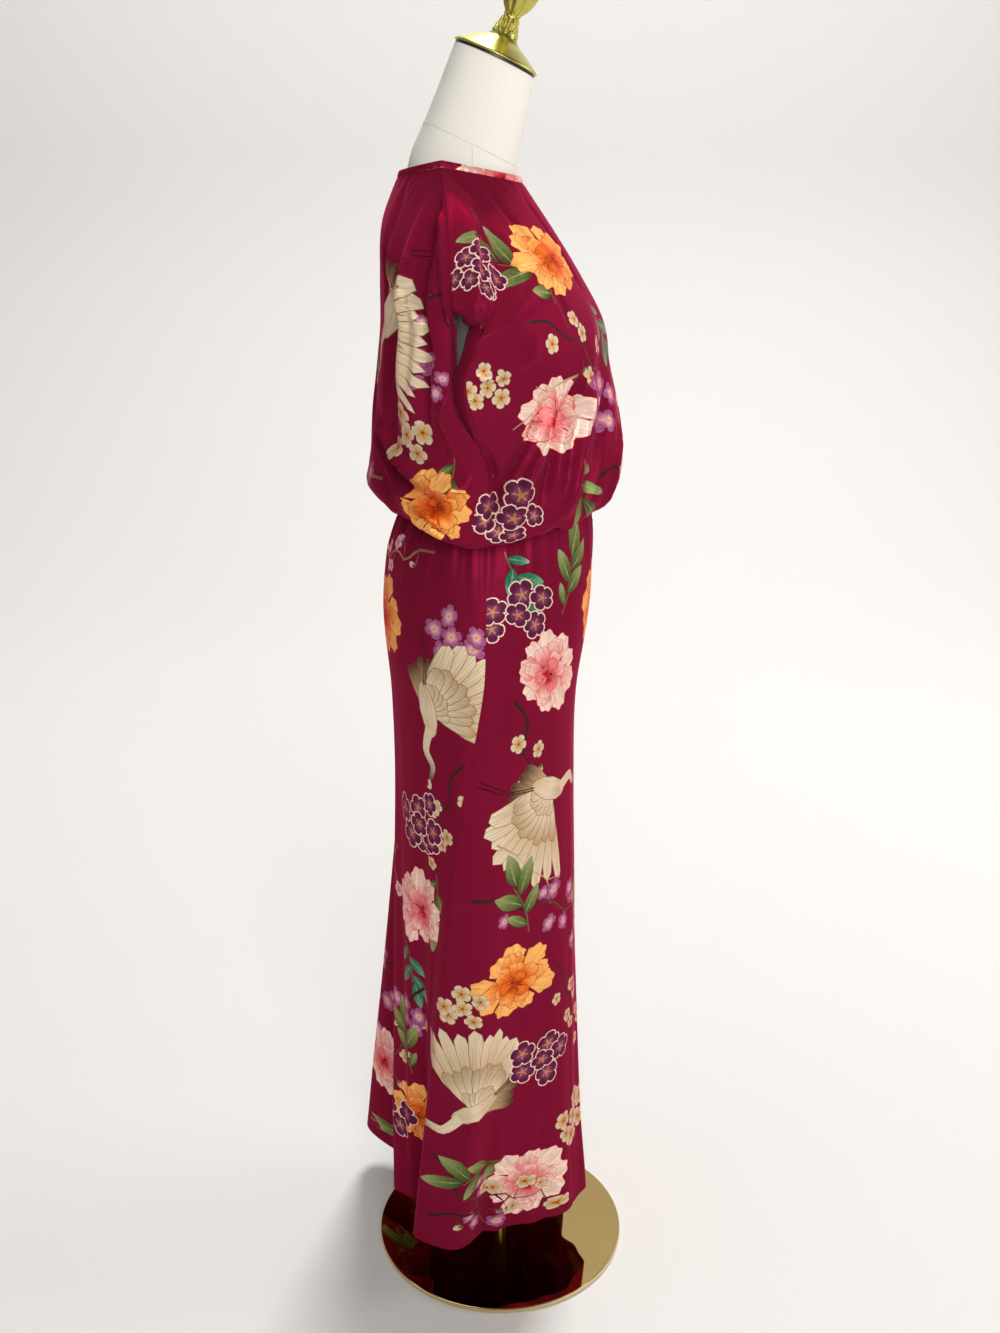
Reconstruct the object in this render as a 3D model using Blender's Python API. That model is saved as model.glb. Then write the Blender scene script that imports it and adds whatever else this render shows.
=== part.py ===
"""Printed silk top and long skirt on a limbless dress form.

Metres, +Z up. The garment's front faces -Y and its wearer's right side is -X.
The origin is the centre of the base plate's underside, on the floor.
Each cloth panel is a thin wall whose outer face is a worked-out surface:
the skirt is a stack of rings with flutes, the top is a stack of rows that
run from one sleeve to the other.
"""
import math
from collections import namedtuple

import bpy
from mathutils import Vector

# Driving sizes
WALL = 0.0015
SEAM_GAP = 0.0003
TOP_SEAM_GAP = 0.0005
PLATE_RADIUS = 0.175
PLATE_THICKNESS = 0.007
PLATE_EDGE = 0.0015
POLE_RADIUS = 0.009
HEM_HEIGHT = 0.075
WAIST_HEIGHT = 1.106
RING_CENTRE_Y = 0.020

# Mesh density
SKIRT_FRONT_COLUMNS = 50
SKIRT_BACK_COLUMNS = 36
SKIRT_ROWS = 17
ROW_SPREAD = 1.35
TOP_COLUMNS = 24
TOP_STEPS = 2
FORM_SIDES = 28
TURNED_SIDES = 20
PLATE_SIDES = 56
SHARP_ANGLE = math.radians(40.0)

# Skirt rings: height, half width on the wearer's right and left, front y and back y
SkirtRing = namedtuple("SkirtRing", "height right left front back")
SKIRT_RINGS = (
    SkirtRing(1.106, 0.124, 0.124, -0.098, 0.094),
    SkirtRing(1.066, 0.142, 0.142, -0.110, 0.123),
    SkirtRing(1.022, 0.156, 0.156, -0.114, 0.139),
    SkirtRing(0.945, 0.166, 0.166, -0.111, 0.146),
    SkirtRing(0.839, 0.168, 0.168, -0.097, 0.137),
    SkirtRing(0.728, 0.162, 0.168, -0.096, 0.133),
    SkirtRing(0.554, 0.148, 0.166, -0.100, 0.134),
    SkirtRing(0.369, 0.130, 0.164, -0.103, 0.134),
    SkirtRing(0.200, 0.114, 0.160, -0.106, 0.134),
    SkirtRing(0.075, 0.102, 0.155, -0.112, 0.132),
)

# Flutes and hollows: angles from the front towards the wearer's right, in degrees,
# where each starts and where it meets the hem, its half width, the share of that
# width that is flat, its depth at the hem (a hollow is negative) and its top height
Flute = namedtuple("Flute", "angle_top angle_hem half_width flat depth start")
FLUTES = (
    Flute(2.0, 5.0, 15.0, 0.0, 0.013, 0.500),
    Flute(38.0, 34.0, 20.0, 0.0, 0.008, 0.600),
    Flute(62.0, 72.0, 18.0, 0.0, -0.006, 0.800),
    Flute(85.0, 116.0, 26.0, 0.4, 0.046, 0.930),
    Flute(128.0, 149.0, 13.0, 0.0, -0.020, 0.860),
    Flute(176.0, 176.0, 16.0, 0.1, 0.022, 0.900),
    Flute(199.0, 196.0, 11.0, 0.0, -0.034, 0.840),
    Flute(214.0, 212.0, 21.0, 0.1, 0.110, 0.900),
    Flute(256.0, 252.0, 16.0, 0.0, -0.020, 0.700),
    Flute(283.0, 284.0, 20.0, 0.2, 0.040, 0.800),
    Flute(318.0, 317.0, 18.0, 0.0, 0.022, 0.700),
    Flute(340.0, 340.0, 12.0, 0.0, -0.012, 0.620),
)

# Side seams of the skirt: height, angle on the right and on the left
SeamPoint = namedtuple("SeamPoint", "height right left")
SKIRT_SEAMS = (
    SeamPoint(1.106, 88.0, 272.0),
    SeamPoint(0.900, 89.0, 271.0),
    SeamPoint(0.800, 97.0, 266.0),
    SeamPoint(0.700, 107.0, 259.0),
    SeamPoint(0.600, 116.0, 252.0),
    SeamPoint(0.450, 127.0, 243.0),
    SeamPoint(0.250, 137.0, 236.0),
    SeamPoint(0.075, 142.0, 233.0),
)

FLUTE_GROWTH = 1.15
GATHER_COUNT = 23
GATHER_DEPTH = 0.0022
GATHER_END = 0.970

# Rows of the top: middle height and y, then x, y and height of the side edge
TopRow = namedtuple("TopRow", "middle_z middle_y edge_x edge_y edge_z round_y round_z")
FRONT_ROWS = (
    TopRow(1.395, -0.062, 0.2365, 0.0225, 1.310, 1.25, 1.60),
    TopRow(1.345, -0.094, 0.2350, 0.0235, 1.283, 1.15, 1.40),
    TopRow(1.295, -0.121, 0.2275, 0.0345, 1.250, 1.10, 1.20),
    TopRow(1.245, -0.131, 0.2180, 0.0310, 1.218, 1.05, 1.10),
    TopRow(1.195, -0.142, 0.2020, 0.0200, 1.170, 1.00, 1.00),
    TopRow(1.150, -0.148, 0.1960, 0.0230, 1.128, 0.95, 1.00),
    TopRow(1.110, -0.145, 0.1910, 0.0310, 1.086, 0.92, 1.00),
    TopRow(1.086, -0.130, 0.1790, 0.0330, 1.060, 0.92, 1.00),
    TopRow(1.090, -0.112, 0.1530, 0.0260, 1.070, 0.95, 1.00),
    TopRow(1.103, -0.1014, 0.1300, 0.0200, 1.103, 1.00, 1.00),
)
BACK_ROWS = (
    TopRow(1.408, 0.134, 0.2350, 0.0515, 1.300, 1.00, 1.50),
    TopRow(1.350, 0.138, 0.2310, 0.0515, 1.272, 0.95, 1.30),
    TopRow(1.300, 0.139, 0.2250, 0.0528, 1.243, 0.92, 1.20),
    TopRow(1.245, 0.145, 0.2155, 0.0455, 1.212, 0.90, 1.10),
    TopRow(1.195, 0.152, 0.2020, 0.0200, 1.170, 0.90, 1.00),
    TopRow(1.150, 0.155, 0.1960, 0.0230, 1.128, 0.90, 1.00),
    TopRow(1.118, 0.159, 0.1910, 0.0310, 1.086, 0.90, 1.00),
    TopRow(1.098, 0.148, 0.1790, 0.0330, 1.060, 0.90, 1.00),
    TopRow(1.094, 0.121, 0.1530, 0.0260, 1.070, 0.95, 1.00),
    TopRow(1.103, 0.0978, 0.1300, 0.0200, 1.103, 1.00, 1.00),
)
ARMHOLE_ROW = 5
NECK_SHARE = 5.0 / 12.0
NECK_SIDE = Vector((0.080, 0.064, 1.462))
SLEEVE_TIP = Vector((0.234, 0.048, 1.326))
SHOULDER_RISE = 0.021
SHOULDER_SKEW = 1.2
NeckMiddle = namedtuple("NeckMiddle", "y z")
FRONT_NECK = NeckMiddle(-0.026, 1.446)
BACK_NECK = NeckMiddle(0.117, 1.452)

# Folds of the top: two ends as (across, down) shares of the panel, half width, depth
TopFold = namedtuple("TopFold", "across_a down_a across_b down_b half_width depth")
FRONT_FOLDS = (
    TopFold(-0.16, 0.30, -0.62, 0.80, 0.10, -0.008),
    TopFold(-0.05, 0.42, -0.34, 0.86, 0.09, -0.006),
    TopFold(0.20, 0.36, 0.60, 0.84, 0.10, -0.007),
    TopFold(-0.70, 0.56, -0.46, 0.92, 0.08, 0.006),
    TopFold(0.72, 0.58, 0.44, 0.92, 0.08, 0.006),
)
BACK_FOLDS = (
    TopFold(-0.52, 0.06, -0.44, 0.62, 0.12, -0.011),
    TopFold(0.50, 0.06, 0.46, 0.58, 0.12, -0.010),
    TopFold(-0.20, 0.50, -0.66, 0.84, 0.11, -0.007),
    TopFold(0.14, 0.48, 0.62, 0.86, 0.11, -0.008),
    TopFold(-0.30, 0.72, 0.24, 0.78, 0.08, 0.005),
)

FOLD_FADE = 6.0
FOLD_END_SHARE = 0.35
SEAM_TOLERANCE = 1e-6

BINDING_HEIGHT = 0.007
BINDING_LEAN = 0.25
BINDING_SIDES = 48

# Form rings: middle height, rise per metre of y, front y, back y and half width
FormRing = namedtuple("FormRing", "height slope front back half_width")
FORM_RINGS = (
    FormRing(0.764, 0.00, -0.060, 0.090, 0.120),
    FormRing(0.778, 0.00, -0.076, 0.106, 0.138),
    FormRing(0.830, 0.00, -0.084, 0.116, 0.148),
    FormRing(0.900, 0.00, -0.092, 0.124, 0.153),
    FormRing(0.960, 0.00, -0.096, 0.124, 0.150),
    FormRing(1.020, 0.00, -0.094, 0.108, 0.137),
    FormRing(1.075, 0.00, -0.086, 0.082, 0.1185),
    FormRing(1.106, 0.00, -0.085, 0.078, 0.1150),
    FormRing(1.160, 0.00, -0.092, 0.086, 0.121),
    FormRing(1.220, 0.00, -0.104, 0.098, 0.132),
    FormRing(1.280, 0.00, -0.106, 0.106, 0.144),
    FormRing(1.330, 0.00, -0.085, 0.112, 0.158),
    FormRing(1.365, 0.02, -0.062, 0.114, 0.166),
    FormRing(1.392, 0.06, -0.044, 0.113, 0.150),
    FormRing(1.414, 0.08, -0.033, 0.111, 0.1230),
    FormRing(1.434, 0.10, -0.0265, 0.109, 0.0972),
    FormRing(1.452, 0.12, -0.021, 0.106, 0.0716),
    FormRing(1.472, 0.18, -0.020, 0.100, 0.060),
    FormRing(1.496, 0.25, -0.023, 0.087, 0.054),
    FormRing(1.532, 0.36, -0.030, 0.069, 0.049),
    FormRing(1.562, 0.42, -0.036, 0.056, 0.0465),
    FormRing(1.5755, 0.43, -0.0375, 0.050, 0.045),
)

# Neck cap and finial, as radius and height above the neck's slanted top
ProfilePoint = namedtuple("ProfilePoint", "radius height")
CAP_PROFILE = (
    ProfilePoint(0.0445, 0.0000),
    ProfilePoint(0.0470, 0.0020),
    ProfilePoint(0.0470, 0.0050),
    ProfilePoint(0.0445, 0.0075),
    ProfilePoint(0.0435, 0.0110),
    ProfilePoint(0.0385, 0.0175),
    ProfilePoint(0.0290, 0.0235),
    ProfilePoint(0.0180, 0.0270),
    ProfilePoint(0.0140, 0.0280),
)
FINIAL_PROFILE = (
    ProfilePoint(0.0110, 0.0000),
    ProfilePoint(0.0135, 0.0025),
    ProfilePoint(0.0110, 0.0050),
    ProfilePoint(0.0072, 0.0075),
    ProfilePoint(0.0095, 0.0110),
    ProfilePoint(0.0095, 0.0135),
    ProfilePoint(0.0062, 0.0170),
    ProfilePoint(0.0058, 0.0220),
    ProfilePoint(0.0110, 0.0265),
    ProfilePoint(0.0120, 0.0295),
    ProfilePoint(0.0085, 0.0335),
    ProfilePoint(0.0100, 0.0380),
    ProfilePoint(0.0165, 0.0450),
    ProfilePoint(0.0185, 0.0530),
    ProfilePoint(0.0160, 0.0620),
    ProfilePoint(0.0095, 0.0720),
    ProfilePoint(0.0030, 0.0780),
)


def clear_scene():
    for item in list(bpy.data.objects):
        bpy.data.objects.remove(item, do_unlink=True)


def make_material(name, colour, roughness, metallic=0.0):
    material = bpy.data.materials.new(name)
    material.use_nodes = True
    shader = material.node_tree.nodes["Principled BSDF"]
    shader.inputs["Base Color"].default_value = (*colour, 1.0)
    shader.inputs["Roughness"].default_value = roughness
    shader.inputs["Metallic"].default_value = metallic
    return material


def add_object(name, points, faces, material):
    mesh = bpy.data.meshes.new(name)
    mesh.from_pydata([tuple(point) for point in points], [], faces)
    mesh.update()
    mesh.shade_smooth()
    mesh.materials.append(material)
    item = bpy.data.objects.new(name, mesh)
    bpy.context.collection.objects.link(item)
    return item


def smooth_step(value):
    value = min(1.0, max(0.0, value))
    return value * value * (3.0 - 2.0 * value)


def cubic(before, start, end, after, share):
    """Catmull-Rom value between start and end."""
    slope_a = 0.5 * (end - before)
    slope_b = 0.5 * (after - start)
    square = share * share
    cube = square * share
    return (start * (2.0 * cube - 3.0 * square + 1.0) + slope_a * (cube - 2.0 * square + share)
            + end * (3.0 * square - 2.0 * cube) + slope_b * (cube - square))


def read_table(table, height):
    """Values of a table's row at a height, with heights that fall from row to row."""
    last = len(table) - 2
    index = 0
    while index < last and height < table[index + 1].height:
        index += 1
    upper = table[index]
    lower = table[index + 1]
    share = (upper.height - height) / (upper.height - lower.height)
    before = table[max(0, index - 1)]
    after = table[min(len(table) - 1, index + 2)]
    return [cubic(*values, share) for values in zip(before[1:], upper[1:], lower[1:], after[1:])]


def angle_between(angle, middle):
    return (angle - middle + 180.0) % 360.0 - 180.0


def flute_depth(angle, height):
    """How far the flutes push the skirt out at an angle and a height."""
    depth = 0.0
    for flute in FLUTES:
        fall = (flute.start - height) / (flute.start - HEM_HEIGHT)
        if fall <= 0.0:
            continue
        middle = flute.angle_top + (flute.angle_hem - flute.angle_top) * fall
        offset = abs(angle_between(angle, middle)) / flute.half_width
        if offset < 1.0:
            slope = max(0.0, (offset - flute.flat) / (1.0 - flute.flat))
            depth += flute.depth * fall ** FLUTE_GROWTH * 0.5 * (1.0 + math.cos(math.pi * slope))
    return depth


def gather_depth(angle, height):
    share = smooth_step((height - GATHER_END) / (WAIST_HEIGHT - GATHER_END))
    return GATHER_DEPTH * share * math.cos(math.radians(angle) * GATHER_COUNT)


def skirt_point(angle, height):
    """Point of the skirt's outer face; the angle runs from the front to the wearer's right."""
    right, left, front, back = read_table(SKIRT_RINGS, height)
    turn = math.radians(angle)
    half = right if math.sin(turn) > 0.0 else left
    reach = RING_CENTRE_Y - front if math.cos(turn) > 0.0 else back - RING_CENTRE_Y
    offset = Vector((-math.sin(turn) * half, -math.cos(turn) * reach, 0.0))
    offset += offset.normalized() * (flute_depth(angle, height) + gather_depth(angle, height))
    return Vector((offset.x, RING_CENTRE_Y + offset.y, height))


def skirt_height(share):
    """Heights are closer together near the waist, where the skirt turns most."""
    return WAIST_HEIGHT + (HEM_HEIGHT - WAIST_HEIGHT) * share ** ROW_SPREAD


def skirt_grid(front_panel):
    grid = []
    columns = SKIRT_FRONT_COLUMNS if front_panel else SKIRT_BACK_COLUMNS
    for row in range(SKIRT_ROWS + 1):
        height = skirt_height(row / SKIRT_ROWS)
        right, left = read_table(SKIRT_SEAMS, height)
        start = left - 360.0 if front_panel else right
        end = right if front_panel else left
        angles = [start + (end - start) * column / columns for column in range(columns + 1)]
        grid.append([skirt_point(angle, height) for angle in angles])
    return grid


def neck_edge_point(middle, share):
    """Neckline, then shoulder seam, as the top row of a panel of the top."""
    side = -1.0 if share < 0.0 else 1.0
    reach = abs(share)
    if reach <= NECK_SHARE:
        turn = 0.5 * math.pi * reach / NECK_SHARE
        point = Vector((NECK_SIDE.x * math.sin(turn),
                        NECK_SIDE.y + (middle.y - NECK_SIDE.y) * math.cos(turn),
                        NECK_SIDE.z + (middle.z - NECK_SIDE.z) * math.cos(turn)))
    else:
        along = (reach - NECK_SHARE) / (1.0 - NECK_SHARE)
        point = NECK_SIDE.lerp(SLEEVE_TIP, along)
        point.z += SHOULDER_RISE * math.sin(math.pi * along ** SHOULDER_SKEW)
    point.x *= side
    return point


def row_point(row, share):
    side = -1.0 if share < 0.0 else 1.0
    turn = 0.5 * math.pi * abs(share)
    bend_y = math.cos(turn) ** row.round_y if abs(share) < 1.0 else 0.0
    bend_z = math.cos(turn) ** row.round_z if abs(share) < 1.0 else 0.0
    return Vector((side * row.edge_x * math.sin(turn),
                   row.edge_y + (row.middle_y - row.edge_y) * bend_y,
                   row.edge_z + (row.middle_z - row.edge_z) * bend_z))


def top_grid(rows, neck_middle):
    columns = [2.0 * column / TOP_COLUMNS - 1.0 for column in range(TOP_COLUMNS + 1)]
    lines = [[neck_edge_point(neck_middle, share) for share in columns]]
    lines += [[row_point(row, share) for share in columns] for row in rows]
    grid = []
    last = len(lines) - 1
    for index in range(last):
        after = lines[min(last, index + 2)]
        for step in range(TOP_STEPS):
            share = step / TOP_STEPS
            line = []
            for column in range(TOP_COLUMNS + 1):
                # A side seam starts afresh at the foot of the armhole
                first = index if index == ARMHOLE_ROW and column in (0, TOP_COLUMNS) else index - 1
                before = lines[max(0, first)]
                line.append(cubic(before[column], lines[index][column],
                                  lines[index + 1][column], after[column], share))
            grid.append(line)
    grid.append(lines[last])
    return grid


def fold_depth(folds, across, down):
    depth = 0.0
    for fold in folds:
        run_x = fold.across_b - fold.across_a
        run_y = fold.down_b - fold.down_a
        length = run_x * run_x + run_y * run_y
        along = ((across - fold.across_a) * run_x + (down - fold.down_a) * run_y) / length
        along = min(1.0, max(0.0, along))
        away = math.hypot(across - fold.across_a - along * run_x, down - fold.down_a - along * run_y)
        if away < fold.half_width:
            swell = FOLD_END_SHARE + (1.0 - FOLD_END_SHARE) * math.sin(math.pi * along)
            depth += fold.depth * swell * 0.5 * (1.0 + math.cos(math.pi * away / fold.half_width))
    return depth


def grid_normals(grid, outward):
    """Unit normals of a grid, turned to the side that outward(point) points to."""
    normals = []
    rows = len(grid)
    columns = len(grid[0])
    for row in range(rows):
        line = []
        for column in range(columns):
            down = grid[min(rows - 1, row + 1)][column] - grid[max(0, row - 1)][column]
            across = grid[row][min(columns - 1, column + 1)] - grid[row][max(0, column - 1)]
            normal = down.cross(across)
            normal.normalize()
            line.append(normal)
        normals.append(line)
    middle = normals[rows // 2][columns // 2]
    if middle.dot(outward) < 0.0:
        normals = [[-normal for normal in line] for line in normals]
    return normals


def raise_folds(grid, normals, folds):
    rows = len(grid) - 1
    columns = len(grid[0]) - 1
    for row, line in enumerate(grid):
        for column, point in enumerate(line):
            across = 2.0 * column / columns - 1.0
            down = row / rows
            edge = min(1.0, FOLD_FADE * (1.0 - abs(across)), FOLD_FADE * down)
            depth = fold_depth(folds, across, down) * edge
            line[column] = point + normals[row][column] * depth


def edge_places(grid):
    """Row and column of every point on a grid's four edges."""
    last_row = len(grid) - 1
    last_column = len(grid[0]) - 1
    return [(row, column) for row in range(last_row + 1) for column in range(last_column + 1)
            if row in (0, last_row) or column in (0, last_column)]


def find_seams(grid, other_grid):
    """Pairs of places where the edges of two panels meet."""
    return [(place, other) for place in edge_places(grid) for other in edge_places(other_grid)
            if (grid[place[0]][place[1]] - other_grid[other[0]][other[1]]).length < SEAM_TOLERANCE]


def share_normals(normals, other_normals, seams):
    """Where two panels meet, both take the mean of their normals."""
    for (row, column), (other_row, other_column) in seams:
        mean = (normals[row][column] + other_normals[other_row][other_column]).normalized()
        normals[row][column] = mean
        other_normals[other_row][other_column] = mean


def open_seams(grid, places, gap):
    """Pull a panel's seam points back into the panel by half of the gap."""
    last = len(grid[0]) - 1
    shoulders = sum(row == 0 for row, column in places) > 2
    moved = {}
    for row, column in places:
        inner_column = min(max(column, 1), last - 1)
        inner_row = 1 if row == 0 and shoulders else row
        inward = grid[inner_row][inner_column] - grid[row][column]
        moved[row, column] = grid[row][column] + inward.normalized() * (0.5 * gap)
    for (row, column), point in moved.items():
        grid[row][column] = point


def add_sheet(name, grid, normals, material):
    """Closed wall between a grid and the same grid moved in by the cloth's thickness."""
    rows = len(grid)
    columns = len(grid[0])
    outer = [point for line in grid for point in line]
    inner = [point - normals[row][column] * WALL
             for row, line in enumerate(grid) for column, point in enumerate(line)]
    count = rows * columns
    faces = []
    for row in range(rows - 1):
        for column in range(columns - 1):
            corner = row * columns + column
            quad = (corner, corner + columns, corner + columns + 1, corner + 1)
            faces.append(quad)
            faces.append(tuple(count + index for index in reversed(quad)))
    rim = [column for column in range(columns)]
    rim += [row * columns + columns - 1 for row in range(1, rows)]
    rim += [(rows - 1) * columns + column for column in range(columns - 2, -1, -1)]
    rim += [row * columns for row in range(rows - 2, 0, -1)]
    for index, start in enumerate(rim):
        end = rim[(index + 1) % len(rim)]
        faces.append((start, end, count + end, count + start))
    first = (outer[columns] - outer[0]).cross(outer[1] - outer[0])
    if first.dot(normals[0][0]) < 0.0:
        faces = [tuple(reversed(face)) for face in faces]
    return add_object(name, outer + inner, faces, material)


def add_panel_pair(front, back, front_normals, back_normals, gap, materials):
    """Front and back panels share their seams, each a little short of the other."""
    seams = find_seams(front["grid"], back["grid"])
    share_normals(front_normals, back_normals, seams)
    open_seams(front["grid"], [place for place, other in seams], gap)
    open_seams(back["grid"], [other for place, other in seams], gap)
    add_sheet(front["name"], front["grid"], front_normals, materials[0])
    add_sheet(back["name"], back["grid"], back_normals, materials[1])


def add_skirt(front_material, back_material):
    front = {"name": "skirt_front", "grid": skirt_grid(True)}
    back = {"name": "skirt_back", "grid": skirt_grid(False)}
    front_normals = grid_normals(front["grid"], Vector((0.0, -1.0, 0.0)))
    back_normals = grid_normals(back["grid"], Vector((0.0, 1.0, 0.0)))
    add_panel_pair(front, back, front_normals, back_normals, SEAM_GAP,
                   (front_material, back_material))


def add_top(front_material, back_material):
    front = {"name": "top_front", "grid": top_grid(FRONT_ROWS, FRONT_NECK)}
    back = {"name": "top_back", "grid": top_grid(BACK_ROWS, BACK_NECK)}
    front_normals = grid_normals(front["grid"], Vector((0.0, -1.0, 0.0)))
    back_normals = grid_normals(back["grid"], Vector((0.0, 1.0, 0.0)))
    raise_folds(front["grid"], front_normals, FRONT_FOLDS)
    raise_folds(back["grid"], back_normals, BACK_FOLDS)
    front_normals = grid_normals(front["grid"], Vector((0.0, -1.0, 0.0)))
    back_normals = grid_normals(back["grid"], Vector((0.0, 1.0, 0.0)))
    add_panel_pair(front, back, front_normals, back_normals, TOP_SEAM_GAP,
                   (front_material, back_material))


def neckline_point(turn):
    """Neckline all round; the turn runs from the front to the wearer's left."""
    middle = FRONT_NECK if math.cos(turn) > 0.0 else BACK_NECK
    bend = abs(math.cos(turn))
    return Vector((NECK_SIDE.x * math.sin(turn),
                   NECK_SIDE.y + (middle.y - NECK_SIDE.y) * bend,
                   NECK_SIDE.z + (middle.z - NECK_SIDE.z) * bend))


def add_neck_binding(material):
    centre = Vector((0.0, 0.5 * (FRONT_NECK.y + BACK_NECK.y), 0.0))
    points = []
    faces = []
    for index in range(BINDING_SIDES):
        turn = 2.0 * math.pi * index / BINDING_SIDES
        base = neckline_point(turn)
        inward = Vector((centre.x - base.x, centre.y - base.y, 0.0)).normalized()
        upward = (Vector((0.0, 0.0, 1.0)) + inward * BINDING_LEAN).normalized()
        foot = base + upward * SEAM_GAP
        crown = foot + upward * BINDING_HEIGHT
        points += [foot, crown, crown + inward * WALL, foot + inward * WALL]
    for index in range(BINDING_SIDES):
        here = 4 * index
        there = 4 * ((index + 1) % BINDING_SIDES)
        for side in range(4):
            after = (side + 1) % 4
            faces.append((here + side, there + side, there + after, here + after))
    add_object("neck_binding", points, faces, material)


def ring_points(ring):
    """One ring of the form, tilted along its slope."""
    middle = 0.5 * (ring.front + ring.back)
    reach = 0.5 * (ring.back - ring.front)
    points = []
    for side in range(FORM_SIDES):
        turn = 2.0 * math.pi * side / FORM_SIDES
        offset = -math.cos(turn) * reach
        points.append(Vector((math.sin(turn) * ring.half_width, middle + offset,
                              ring.height + ring.slope * offset)))
    return points


def add_loft(name, rings, material):
    sides = len(rings[0])
    points = [point for ring in rings for point in ring]
    faces = [tuple(reversed(range(sides)))]
    for level in range(len(rings) - 1):
        for side in range(sides):
            here = level * sides + side
            after = level * sides + (side + 1) % sides
            faces.append((here, after, after + sides, here + sides))
    top = (len(rings) - 1) * sides
    faces.append(tuple(range(top, top + sides)))
    item = add_object(name, points, faces, material)
    item.data.set_sharp_from_angle(angle=SHARP_ANGLE)
    return item


def add_form(material):
    add_loft("form_body", [ring_points(ring) for ring in FORM_RINGS], material)


def neck_frame():
    """Middle of the neck's slanted top, its axis and a direction across it."""
    ring = FORM_RINGS[-1]
    middle = Vector((0.0, 0.5 * (ring.front + ring.back), ring.height))
    axis = Vector((0.0, -ring.slope, 1.0)).normalized()
    return middle, axis, Vector((1.0, 0.0, 0.0))


def add_turned(name, profile, lift, material):
    middle, axis, across = neck_frame()
    depth = axis.cross(across)
    rings = []
    for point in profile:
        centre = middle + axis * (lift + point.height)
        rings.append([centre + across * (point.radius * math.cos(2.0 * math.pi * side / TURNED_SIDES))
                      + depth * (point.radius * math.sin(2.0 * math.pi * side / TURNED_SIDES))
                      for side in range(TURNED_SIDES)])
    add_loft(name, rings, material)


def add_cap_and_finial(material):
    add_turned("neck_cap", CAP_PROFILE, SEAM_GAP, material)
    lift = 2.0 * SEAM_GAP + CAP_PROFILE[-1].height
    add_turned("finial", FINIAL_PROFILE, lift, material)


def disc_ring(radius, height, sides):
    return [Vector((radius * math.sin(2.0 * math.pi * side / sides),
                    -radius * math.cos(2.0 * math.pi * side / sides), height))
            for side in range(sides)]


def add_stand(material):
    plate = [disc_ring(PLATE_RADIUS, 0.0, PLATE_SIDES),
             disc_ring(PLATE_RADIUS, PLATE_THICKNESS - PLATE_EDGE, PLATE_SIDES),
             disc_ring(PLATE_RADIUS - PLATE_EDGE, PLATE_THICKNESS, PLATE_SIDES)]
    add_loft("base_plate", plate, material)
    pole_bottom = PLATE_THICKNESS + SEAM_GAP
    pole_top = FORM_RINGS[0].height - SEAM_GAP
    pole = [disc_ring(POLE_RADIUS, pole_bottom, TURNED_SIDES),
            disc_ring(POLE_RADIUS, pole_top, TURNED_SIDES)]
    add_loft("pole", pole, material)


def main():
    clear_scene()
    silk = make_material("raspberry_silk", (0.19, 0.010, 0.032), 0.38)
    binding = make_material("printed_binding", (0.42, 0.18, 0.16), 0.42)
    cover = make_material("white_cover", (0.82, 0.78, 0.70), 0.75)
    gold = make_material("polished_gold", (0.78, 0.58, 0.26), 0.14, 1.0)
    mirror = make_material("mirror_gold", (0.60, 0.50, 0.28), 0.05, 1.0)
    add_skirt(silk, silk)
    add_top(silk, silk)
    add_neck_binding(binding)
    add_form(cover)
    add_cap_and_finial(gold)
    add_stand(mirror)


main()
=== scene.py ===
import math

import bpy
import numpy as np
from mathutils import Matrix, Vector
from mathutils.geometry import delaunay_2d_cdt


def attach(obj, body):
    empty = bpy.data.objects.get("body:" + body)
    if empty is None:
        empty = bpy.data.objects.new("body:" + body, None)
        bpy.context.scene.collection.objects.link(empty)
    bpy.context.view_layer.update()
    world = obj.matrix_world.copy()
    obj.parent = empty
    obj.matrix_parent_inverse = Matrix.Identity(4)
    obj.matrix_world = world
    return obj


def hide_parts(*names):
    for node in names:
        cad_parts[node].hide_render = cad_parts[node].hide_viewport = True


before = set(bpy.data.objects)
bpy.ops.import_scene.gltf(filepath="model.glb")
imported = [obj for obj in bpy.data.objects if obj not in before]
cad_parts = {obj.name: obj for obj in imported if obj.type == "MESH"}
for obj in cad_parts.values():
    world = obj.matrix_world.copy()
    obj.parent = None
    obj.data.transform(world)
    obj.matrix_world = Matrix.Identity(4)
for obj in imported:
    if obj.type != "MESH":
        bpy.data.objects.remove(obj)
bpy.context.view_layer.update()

# Metres, +Z up; the garment's front faces -Y and its wearer's right side, nearest the camera, is -X
hemHeight = 0.075
waistHeight = 1.106
ringCentreY = 0.02
clothThickness = 0.0005
liningDrop = 0.0011  # more, so that the wrong side stays under the creases
seamDip = 0.0007
seamReach = 0.01  # metres of cloth that the dip beside a seam takes up
seamSteps = (0.0016, 0.0034, 0.0056, 0.0082, 0.0112)  # rows of points beside a seam
hemSteps = (0.0015, 0.003)
skirtHalf = 0.28

# Height, half width on the wearer's right and left, front y and back y
skirtRings = np.array((
    (1.106, 0.124, 0.124, -0.098, 0.094),
    (1.066, 0.142, 0.142, -0.11, 0.123),
    (1.022, 0.156, 0.156, -0.114, 0.139),
    (0.945, 0.166, 0.166, -0.111, 0.146),
    (0.839, 0.168, 0.168, -0.097, 0.137),
    (0.728, 0.162, 0.168, -0.096, 0.133),
    (0.554, 0.148, 0.166, -0.1, 0.134),
    (0.369, 0.13, 0.164, -0.103, 0.134),
    (0.2, 0.114, 0.16, -0.106, 0.134),
    (0.075, 0.102, 0.155, -0.112, 0.132)))

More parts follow.
